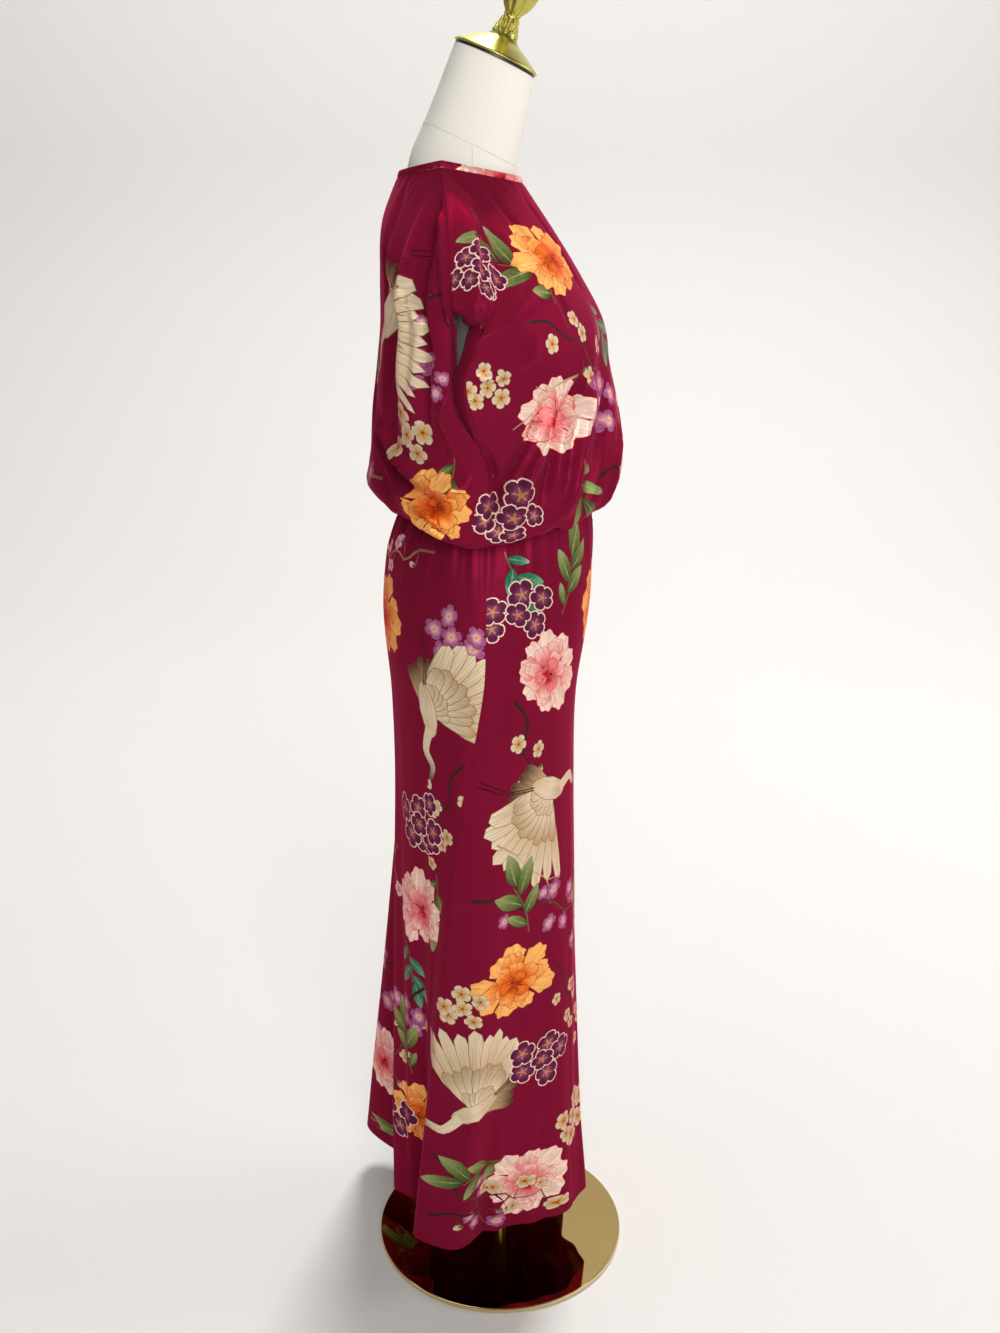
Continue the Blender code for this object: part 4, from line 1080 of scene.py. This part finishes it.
backSkirt = {
    "scale": (0.25, 1.03), "step": 0.006, "liningStep": 1.5, "seamed": True, "seed": 400,
    "node": "skirt_back", "outward": (0.0, 1.0, 0.0),
    "motifs": (
        ("branch:pink", -0.66, 0.06, 0.13, 15.0), ("cluster:mauve", -0.8, 0.15, 0.046, 0.0),
        ("bird", -0.62, 0.235, 0.27, 100.0), ("branch:cream", -0.96, 0.3, 0.15, 60.0),
        ("cluster:plum", -0.62, 0.4, 0.056, 0.0), ("leaves:green", -0.88, 0.455, 0.11, 80.0),
        ("peony:pink", -0.68, 0.52, 0.116, 60.0), ("leaves:teal", -0.5, 0.58, 0.1, 100.0),
        ("branch:cream", -0.8, 0.64, 0.18, 65.0), ("cluster:mauve", -0.5, 0.7, 0.05, 0.0),
        ("leaves:green", -0.66, 0.785, 0.11, -80.0), ("peony:orange", -0.7, 0.85, 0.116, 10.0),
        ("leaves:green", -0.06, 0.935, 0.12, 20.0), ("cluster:plum", -0.2, 0.86, 0.06, 0.0),
        ("branch:pink", -0.24, 0.46, 0.18, 70.0), ("peony:orange", -0.2, 0.15, 0.108, 0.0),
        ("branch:cream", 0.06, 0.14, 0.19, 30.0), ("bird", 0.3, 0.32, 0.28, -60.0),
        ("peony:orange", 0.6, 0.5, 0.11, 0.0), ("leaves:green", 0.7, 0.45, 0.11, -40.0),
        ("cluster:plum", 0.62, 0.12, 0.06, 0.0), ("branch:mauve", 0.16, 0.62, 0.2, 60.0),
        ("peony:pink", 0.34, 0.86, 0.12, 0.0), ("leaves:teal", 0.44, 0.8, 0.1, -50.0),
        ("branch:cream", 0.6, 0.94, 0.19, 0.0), ("twig", 0.84, 0.7, 0.15, 80.0),
        ("cluster:cream", 0.9, 0.28, 0.05, 0.0))}
binding = {
    "scale": (0.235, 0.007), "step": 0.002, "seamed": False, "seed": 500, "node": "neck_binding",
    "outward": (0.0, -1.0, 0.0), "thickness": 0.0012, "swell": 0.0004,
    "motifs": (
        ("peony:pink", -0.22, 0.5, 0.12, 20.0), ("leaves:green", -0.08, 0.5, 0.08, 0.0),
        ("peony:pink", 0.12, 0.5, 0.11, 0.0), ("blossom:cream", 0.3, 0.5, 0.03, 0.0)),
    "foot": 0.0003, "height": 0.007, "lean": 0.25, "puckers": 0.0004}


# Materials

def newGroup(name, inputs, outputs):
    tree = bpy.data.node_groups.new(name, "ShaderNodeTree")
    for way, sockets in (("INPUT", inputs), ("OUTPUT", outputs)):
        for label, kind in sockets.items():
            tree.interface.new_socket(label, in_out=way, socket_type="NodeSocket" + kind)
    return tree, tree.nodes.new("NodeGroupInput").outputs, tree.nodes.new("NodeGroupOutput")


def feed(tree, node, values):  # an input takes a plain value or the output of another node
    for key, value in values.items():
        if isinstance(value, bpy.types.NodeSocket):
            tree.links.new(value, node.inputs[key])
        else:
            node.inputs[key].default_value = value
    return node


def addNode(tree, kind, values, **settings):
    node = tree.nodes.new("ShaderNode" + kind)
    for key, value in settings.items():
        setattr(node, key, value)
    return feed(tree, node, values)


def addMath(tree, operation, first, second):
    return addNode(tree, "Math", {0: first, 1: second}, operation=operation).outputs[0]


def addNoise(tree, place, scale, detail, roughness=0.5):
    return addNode(tree, "TexNoise", {"Vector": place, "Scale": scale, "Detail": detail,
                                      "Roughness": roughness}).outputs["Fac"]


def addSpan(tree, value, ends):
    return addNode(tree, "MapRange", {"Value": value, **ends}).outputs["Result"]


def addBlend(tree, factor, first, second, kind="MIX"):
    return addNode(tree, "Mix", {"Factor": factor, "A": first, "B": second}, data_type="RGBA",
                   blend_type=kind).outputs["Result"]


def addBump(tree, height, strength, distance):
    bump = addNode(tree, "Bump", {"Height": height, "Strength": strength, "Distance": distance})
    return bump.outputs["Normal"]


def objectPlace(tree):
    return addNode(tree, "TexCoord", {}).outputs["Object"]


touchLook = {"stretch": (2.0, 7.0, 12.0), "streaks": 2.2, "dye": 0.16}


def printTouchGroup():  # brush streaks inside the motifs and a faint unevenness of the dye
    tree, given, result = newGroup("printTouch", {"Print": "Color", "Mark": "Vector", "Place": "Vector"},
                                   {"Colour": "Color"})
    mark = addNode(tree, "SeparateXYZ", {0: given["Mark"]}).outputs
    place = addNode(tree, "SeparateXYZ", {0: given["Place"]}).outputs
    streakPlace = addNode(tree, "CombineXYZ", {
        index: addMath(tree, "MULTIPLY", source, stretch)
        for index, (source, stretch) in enumerate(zip((mark[0], mark[1], place[2]), touchLook["stretch"]))})
    streaks = addMath(tree, "SUBTRACT", addNoise(tree, streakPlace.outputs[0], 1.0, 2.0, 0.6), 0.5)
    strength = addMath(tree, "MULTIPLY", addMath(tree, "MULTIPLY", streaks, mark[2]), touchLook["streaks"])
    dye = addMath(tree, "SUBTRACT", addNoise(tree, given["Place"], 22.0, 3.0, 0.55), 0.5)
    uneven = addMath(tree, "MULTIPLY", dye, touchLook["dye"])
    gain = addMath(tree, "ADD", addMath(tree, "ADD", strength, uneven), 1.0)
    grey = addNode(tree, "CombineColor", {index: gain for index in range(3)}).outputs[0]
    feed(tree, result, {"Colour": addBlend(tree, 1.0, given["Print"], grey, "MULTIPLY")})
    return tree


reliefLayers = (  # stretch along the fall, scale, detail, weight
    (0.35, 17.0, 2.0, 1.0), (0.6, 70.0, 2.0, 0.1), (3.0, 420.0, 1.0, 0.01))


def clothHeightGroup():  # soft crumples along the fall of the cloth over a fine satin grain
    tree, given, result = newGroup("clothHeight", {"Place": "Vector"}, {"Height": "Float"})
    parts = []
    for stretch, scale, detail, weight in reliefLayers:
        mapping = addNode(tree, "Mapping", {"Vector": given["Place"], "Scale": (1.0, 1.0, stretch)})
        noise = addNoise(tree, mapping.outputs[0], scale, detail)
        parts.append(addMath(tree, "MULTIPLY", noise, weight))
    feed(tree, result, {"Height": addMath(tree, "ADD", addMath(tree, "ADD", parts[0], parts[1]), parts[2])})
    return tree


def newMaterial(name):
    material = bpy.data.materials.new(name)
    material.use_nodes = True
    tree = material.node_tree
    return material, tree, tree.nodes["Principled BSDF"]


silkLook = {"roughness": 0.42, "insideRoughness": 0.67, "metallic": 0.24, "sheen": 0.24,
            "sheenRoughness": 0.45, "bump": 0.55, "bumpDepth": 0.0022}
silkTint = tone(230, 88, 132)


def addSilk(name, touch, height, inside=None):
    material, tree, shader = newMaterial(name)
    place = objectPlace(tree)
    relief = addNode(tree, "Group", {"Place": place}, node_tree=height).outputs["Height"]
    if inside is None:
        ink = addNode(tree, "Attribute", {}, attribute_name="print").outputs["Color"]
        mark = addNode(tree, "Attribute", {}, attribute_name="stroke").outputs["Vector"]
        painted = addNode(tree, "Group", {"Print": ink, "Mark": mark, "Place": place}, node_tree=touch)
        values = {"Base Color": painted.outputs["Colour"], "Roughness": silkLook["roughness"],
                  "Metallic": silkLook["metallic"]}
    else:  # the wrong side takes little of the print
        blots = addSpan(tree, addNoise(tree, place, 16.0, 3.0, 0.6), {"From Min": 0.55, "From Max": 0.62})
        # the wrong side's ground colour is partly its own paler dye and partly painted light standing in for
        # light shining through the thin silk
        values = {"Base Color": addBlend(tree, blots, (*inside, 1.0), (*inks["showThrough"], 1.0)),
                  "Roughness": silkLook["insideRoughness"], "Metallic": 0.0}
    feed(tree, shader, {
        **values, "Normal": addBump(tree, relief, silkLook["bump"], silkLook["bumpDepth"]),
        "Specular IOR Level": 0.0, "Specular Tint": (*silkTint, 1.0), "Sheen Weight": silkLook["sheen"],
        "Sheen Roughness": silkLook["sheenRoughness"], "Sheen Tint": (*silkTint, 1.0)})
    return material


def addMetal(name, colour, roughness, spread, scale):
    material, tree, shader = newMaterial(name)
    noise = addNoise(tree, objectPlace(tree), scale, 3.0, 0.6)
    span = addSpan(tree, noise, {"To Min": roughness, "To Max": roughness + spread})
    feed(tree, shader, {"Base Color": (*colour, 1.0), "Metallic": 1.0, "Roughness": span})
    return material


def addCover(name, colour):  # a matt stretch cover with a fine weave
    material, tree, shader = newMaterial(name)
    place = objectPlace(tree)
    blend = addBlend(tree, addNoise(tree, place, 9.0, 3.0), (*(colour * 0.94), 1.0), (*colour, 1.0))
    weave = addBump(tree, addNoise(tree, place, 950.0, 1.0), 0.25, 0.0004)
    feed(tree, shader, {"Base Color": blend, "Normal": weave, "Roughness": 0.82, "Sheen Weight": 0.15})
    return material


# Hard pieces and the form

def addShell(name, points, faces, material, sharpAngle=40.0):
    mesh = bpy.data.meshes.new(name)
    mesh.from_pydata([tuple(point) for point in points], [], faces)
    mesh.shade_smooth()
    mesh.set_sharp_from_angle(angle=math.radians(sharpAngle))
    return newObject(name, mesh, material)


def ringFaces(levels, sides, capped=True):
    faces = []
    for level in range(levels - 1):
        for side in range(sides):
            here = level * sides + side
            after = level * sides + (side + 1) % sides
            faces.append((here, after, after + sides, here + sides))
    if capped:
        faces.append(tuple(reversed(range(sides))))
        faces.append(tuple(range((levels - 1) * sides, levels * sides)))
    return faces


def formPoint(turn, level):
    last = len(formRings) - 1
    index = np.minimum(level.astype(int), last - 1)
    share = (level - index)[:, None]
    around = [formRings[np.clip(index + shift, 0, last)] for shift in (-1, 0, 1, 2)]
    height, slope, front, back, half = cubic(*around, share).T
    offset = -np.cos(turn) * 0.5 * (back - front)
    return np.stack((np.sin(turn) * half, 0.5 * (front + back) + offset, height + slope * offset), axis=1)


form = {"sides": 112, "stepsPerRing": 3, "seamHeight": 1.472, "seamRise": 0.46, "seamWidth": 0.0011,
        "sideSeamY": 0.03, "neckLevels": (14.0, 19.0), "sideLevels": (14.5, 17.6)}


def addForm(material):
    levels = np.linspace(0.0, len(formRings) - 1.0, form["stepsPerRing"] * (len(formRings) - 1) + 1)
    turns = np.arange(form["sides"]) * math.tau / form["sides"]
    points = np.concatenate([formPoint(turns, np.full(len(turns), level)) for level in levels])
    return addShell("formBody", points, ringFaces(len(levels), form["sides"]), material)


def addTube(points, radius, sides=6, closed=True):
    points = np.asarray(points)
    run = np.roll(points, -1, axis=0) - np.roll(points, 1, axis=0) if closed else np.gradient(points, axis=0)
    run /= np.linalg.norm(run, axis=1)[:, None]
    outward = points - np.array((0.0, 0.03, 0.0))
    outward[:, 2] = 0.0
    up = np.cross(run, outward)
    up /= np.linalg.norm(up, axis=1)[:, None]
    side = np.cross(up, run)
    angles = np.arange(sides) * math.tau / sides
    rings = [points + side * (radius * math.cos(angle)) + up * (radius * math.sin(angle))
             for angle in angles]
    vertices = np.stack(rings, axis=1).reshape(-1, 3)
    count = len(points)
    faces = []
    for index in range(count if closed else count - 1):
        for spoke in range(sides):
            here = index * sides
            there = (index + 1) % count * sides
            after = (spoke + 1) % sides
            faces.append((here + spoke, there + spoke, there + after, here + after))
    return vertices, faces


def addFormSeams(material):  # a fine welt round the neck's foot and one down each side below it
    levels = np.linspace(*form["neckLevels"], 120)
    ring = []
    for turn in np.linspace(0.0, math.tau, 161)[:-1]:
        line = formPoint(np.full(len(levels), turn), levels)
        gap = np.abs(line[:, 2] - form["seamHeight"] - form["seamRise"] * line[:, 1])
        ring.append(line[gap.argmin()])
    vertices, faces = addTube(ring, form["seamWidth"] * 0.5)
    for side in (-1.0, 1.0):
        line = []
        for level in np.linspace(*form["sideLevels"], 16):
            around = formPoint(np.linspace(0.2, 2.9, 200) * side, np.full(200, level))
            line.append(around[np.abs(around[:, 1] - form["sideSeamY"]).argmin()])
        more, moreFaces = addTube(line, form["seamWidth"] * 0.4, closed=False)
        faces += [tuple(index + len(vertices) for index in face) for face in moreFaces]
        vertices = np.concatenate((vertices, more))
    return addShell("formSeams", vertices, faces, material, 80.0)


def neckFrame():
    height, slope, front, back, _ = formRings[-1]
    axis = Vector((0.0, -slope, 1.0)).normalized()
    return Vector((0.0, 0.5 * (front + back), height)), axis, Vector((1.0, 0.0, 0.0))


def turnedPoints(profile, sides):
    middle, axis, across = neckFrame()
    depth = axis.cross(across)
    points = []
    for radius, height, *ribs in profile:
        for side in range(sides):
            turn = math.tau * side / sides
            reach = radius + sum(ribs) * finialLook["ribDeep"] * math.cos(finialLook["ribs"] * turn)
            points.append(middle + axis * height + across * (reach * math.cos(turn))
                          + depth * (reach * math.sin(turn)))
    return points


finialLook = {"sides": 80, "ribs": 10, "ribDeep": 0.0011, "beadSides": 8, "beadLevels": 4, "capSides": 96}
capProfile = (  # radius, height above the neck's slanted top
    (0.047, 0.003), (0.049, 0.0031), (0.0497, 0.0037), (0.0498, 0.0045),
    (0.0488, 0.0056), (0.047, 0.0068), (0.044, 0.0086), (0.04, 0.0112),
    (0.035, 0.0143), (0.03, 0.0172), (0.025, 0.0198), (0.0205, 0.0222),
    (0.0175, 0.0246), (0.0155, 0.0275))
trimProfile = ((0.0462, 0.0003), (0.0476, 0.0008), (0.0476, 0.0026), (0.044, 0.0029))
finialProfile = (  # and the share of the ribs
    (0.014, 0.0278), (0.013, 0.03), (0.0118, 0.0335), (0.0104, 0.038),
    (0.009, 0.0425), (0.0078, 0.0465), (0.0074, 0.0495), (0.0088, 0.0515, 0.3),
    (0.011, 0.0545, 0.7), (0.0138, 0.0585, 1.0), (0.0166, 0.0635, 1.0), (0.019, 0.0695, 1.0),
    (0.0204, 0.076, 1.0), (0.0208, 0.0825, 1.0), (0.0198, 0.089, 1.0), (0.0172, 0.095, 1.0),
    (0.013, 0.1, 0.8), (0.008, 0.1036, 0.5), (0.004, 0.1056, 0.2), (0.0012, 0.1064))
beadRows = ((0.0298, 0.013, 12, 0.0023), (0.0324, 0.0124, 11, 0.0023), (0.035, 0.0116, 11, 0.0022),
            (0.0376, 0.0108, 10, 0.0022), (0.0402, 0.01, 9, 0.0021), (0.0428, 0.0092, 9, 0.0021),
            (0.0454, 0.0084, 8, 0.002), (0.048, 0.0078, 8, 0.0019), (0.0503, 0.0079, 8, 0.0018))


def addBeads(points, faces):
    middle, axis, across = neckFrame()
    depth = axis.cross(across)
    sides, levels = finialLook["beadSides"], finialLook["beadLevels"]
    for row, (height, radius, count, size) in enumerate(beadRows):
        for index in range(count):
            turn = math.tau * (index + 0.5 * (row % 2)) / count
            centre = middle + axis * height + (across * math.cos(turn) + depth * math.sin(turn)) * radius
            first = len(points)
            for level in range(1, levels + 1):
                lift = math.pi * level / (levels + 1.0)
                wide = math.sin(lift)
                for side in range(sides):
                    angle = math.tau * side / sides
                    aim = (wide * math.cos(angle), wide * math.sin(angle), math.cos(lift))
                    points.append(centre + Vector(aim) * size)
            faces += [tuple(first + vertex for vertex in face) for face in ringFaces(levels, sides)]


def addCapAndFinial(gold, black):
    sides = finialLook["capSides"]
    cap, trim = (addShell(name, turnedPoints(profile, sides), ringFaces(len(profile), sides),
                          material, sharp)
                 for name, profile, material, sharp in (("neckCap", capProfile, gold, 50.0),
                                                        ("neckCapTrim", trimProfile, black, 30.0)))
    points = turnedPoints(finialProfile, finialLook["sides"])
    faces = ringFaces(len(finialProfile), finialLook["sides"])
    addBeads(points, faces)
    return cap, trim, addShell("finial", points, faces, gold, 60.0)


plate = {"radius": 0.175, "thickness": 0.007, "bevel": 0.0012, "sides": 192, "gap": 0.0003,
         "sharp": 15.0, "pole": 0.009, "poleSides": 48, "seat": 0.764}


def addStand(mirror, rimGold, gold):
    def discs(rings, sides):
        turns = [math.tau * side / sides for side in range(sides)]
        return [(radius * math.sin(turn), -radius * math.cos(turn), height) for radius, height in rings
                for turn in turns]
    radius, thickness, bevel, gap = (plate[key] for key in ("radius", "thickness", "bevel", "gap"))
    rings = ((radius - bevel, 0.0), (radius, bevel), (radius, thickness - bevel),
             (radius - 0.3 * bevel, thickness - 0.3 * bevel), (radius - bevel, thickness))
    faces = ringFaces(len(rings), plate["sides"])
    base = addShell("basePlate", discs(rings, plate["sides"]), faces, mirror, plate["sharp"])
    base.data.materials.append(rimGold)
    for face in base.data.polygons:
        if abs(face.normal.z) < 0.95:
            face.material_index = 1
    rings = ((plate["pole"], thickness + gap), (plate["pole"], plate["seat"] - gap))
    return base, addShell("pole", discs(rings, plate["poleSides"]), ringFaces(2, plate["poleSides"]), gold)


# The stage

# low and high are the paper's colours at the floor and up the wall; the lighter colour up the wall is
# painted light
backdrop = {"wide": 9.0, "near": -5.0, "far": 2.6, "bend": 1.6, "top": 7.0, "rise": 1.6,
            "low": (0.63, 0.621, 0.609, 1.0), "high": (0.82, 0.805, 0.785, 1.0)}


def addFloor():  # a paper that bends up into a wall; its colour is painted lighter with height, painted light that brightens the wall
    material, tree, shader = newMaterial("floor")
    position = addNode(tree, "NewGeometry", {}).outputs["Position"]
    height = addNode(tree, "SeparateXYZ", {0: position}).outputs[2]
    # painted light: the paper's colour turns lighter from the floor up the wall
    share = addSpan(tree, height, {"From Max": backdrop["rise"]})
    paintedLightPaper = addBlend(tree, share, backdrop["low"], backdrop["high"])
    feed(tree, shader, {"Base Color": paintedLightPaper, "Roughness": 0.9})
    far, bend = backdrop["far"], backdrop["bend"]
    turns = [step * math.pi / 24.0 for step in range(1, 13)]
    profile = [(backdrop["near"], 0.0), (far, 0.0)]
    profile += [(far + bend * math.sin(turn), bend - bend * math.cos(turn)) for turn in turns]
    profile.append((far + bend, backdrop["top"]))
    points = [(x, side * backdrop["wide"], z) for x, z in profile for side in (-1.0, 1.0)]
    faces = [(2 * index, 2 * index + 2, 2 * index + 3, 2 * index + 1) for index in range(len(profile) - 1)]
    floor = addShell("floor", points, faces, material, 80.0)


def addCamera():
    camera = bpy.data.cameras.new("photoCamera")
    camera.lens = photoView["lens"]
    camera.sensor_width = photoView["sensor"]
    camera.sensor_fit = "AUTO"
    holder = newObject("photoCamera", camera)
    holder.location = photoView["place"]
    holder.rotation_euler = (math.radians(90.0 - photoView["pitch"]), 0.0, math.radians(-90.0))
    bpy.context.scene.camera = holder


photoView = {"lens": 37.8, "sensor": 36.0, "place": (-1.694, 0.0, 1.427), "pitch": 18.4}
studioWorld = {"Color": (0.93, 0.91, 0.88, 1.0), "Strength": 0.1}
studioLights = (  # place, aim, power, width, height, colour
    ((3.6, -1.1, 7.6), (0.0, 0.0, 0.8), 540.0, 1.7, 1.7, (1.0, 0.985, 0.965)),
    ((0.5, -3.4, 2.2), (0.0, 0.0, 1.0), 46.0, 1.8, 1.8, (1.0, 0.985, 0.97)),
    ((-3.4, -0.5, 2.2), (0.0, 0.0, 1.2), 92.0, 1.8, 1.8, (1.0, 0.985, 0.97)),
    ((-0.6, 1.5, 4.2), (0.0, 0.2, 0.6), 14.0, 2.2, 2.2, (1.0, 0.99, 0.98)),
    ((1.2, 0.0, 4.2), (4.2, 0.0, 2.9), 74.0, 6.0, 1.4, (1.0, 0.99, 0.975)))


def addLights():
    for place, aim, power, width, height, colour in studioLights:
        lamp = bpy.data.lights.new("studio", "AREA")
        lamp.energy = power
        lamp.shape = "RECTANGLE"
        lamp.size = width
        lamp.size_y = height
        lamp.color = colour
        holder = newObject("studio", lamp)
        holder.location = place
        holder.rotation_euler = (Vector(aim) - Vector(place)).to_track_quat("-Z", "Y").to_euler()
    world = bpy.data.worlds.new("studio")
    world.use_nodes = True
    feed(world.node_tree, world.node_tree.nodes["Background"], studioWorld)
    bpy.context.scene.world = world
    bpy.context.scene.view_settings.view_transform = "Standard"


def dress(piece, slot, *nodes):
    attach(piece, "root")
    if nodes:
        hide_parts(*nodes)


addCamera()
addFloor()
addLights()
print("stage ready")

touch = printTouchGroup()
relief = clothHeightGroup()
silk = addSilk("printedSilk", touch, relief)
# the wrong side's ground colour carries painted light, standing in for light shining through the silk
silkInside = addSilk("printedSilkInside", touch, relief, inks["insideGroundWithPaintedLight"])
cover = addCover("formCover", tone(246, 242, 232))
seamWhite = addCover("formSeam", tone(228, 222, 208))
gold = addMetal("polishedGold", tone(198, 188, 100), 0.26, 0.12, 60.0)
mirror = addMetal("mirrorGold", tone(163, 141, 92), 0.025, 0.03, 9.0)
rimGold = addMetal("rimGold", tone(226, 204, 150), 0.12, 0.06, 30.0)
trimBlack, trimTree, trimShader = newMaterial("capTrim")
feed(trimTree, trimShader, {"Base Color": (0.012, 0.011, 0.01, 1.0), "Roughness": 0.35})
print("materials ready")

panels = {"topFront": frontTop, "topBack": backTop, "skirtFront": frontSkirt, "skirtBack": backSkirt,
          "neckBinding": binding}
for panel in panels.values():
    panel["ground"] = inks["ground"]
frontTop["base"], frontTop["surface"] = topShape(frontRows, frontNeck, frontFolds, frontCreases, frontTop)
backTop["base"], backTop["surface"] = topShape(backRows, backNeck, backFolds, backCreases, backTop)
frontSkirt["base"] = frontSkirt["surface"] = skirtShape(True)
backSkirt["base"] = backSkirt["surface"] = skirtShape(False)
binding["base"] = binding["surface"] = neckShape(binding)

for name, panel in panels.items():
    panel["piece"] = addCloth(name, panel, (silk, silkInside))
    dress(panel["piece"], "silk", panel["node"])
hems = [addArmholeHem("frontArmholeHem", frontTop, (0.8, 0.62, -0.1), silk),
        addArmholeHem("backArmholeHem", backTop, (0.95, -0.3, -0.12), silk)]

formBody = addForm(cover)
formSeams = addFormSeams(seamWhite)
neckCap, capTrim, finial = addCapAndFinial(gold, trimBlack)
basePlate, pole = addStand(mirror, rimGold, gold)
for piece, slot, *nodes in (
        (hems[0], "silk"), (hems[1], "silk"), (formBody, "form_cover", "form_body"),
        (formSeams, "form_cover"), (neckCap, "polished_gold", "neck_cap"),
        (capTrim, "polished_gold"), (finial, "polished_gold", "finial"),
        (basePlate, "mirror_gold", "base_plate"), (pole, "polished_gold", "pole")):
    dress(piece, slot, *nodes)
print("form and stand ready")
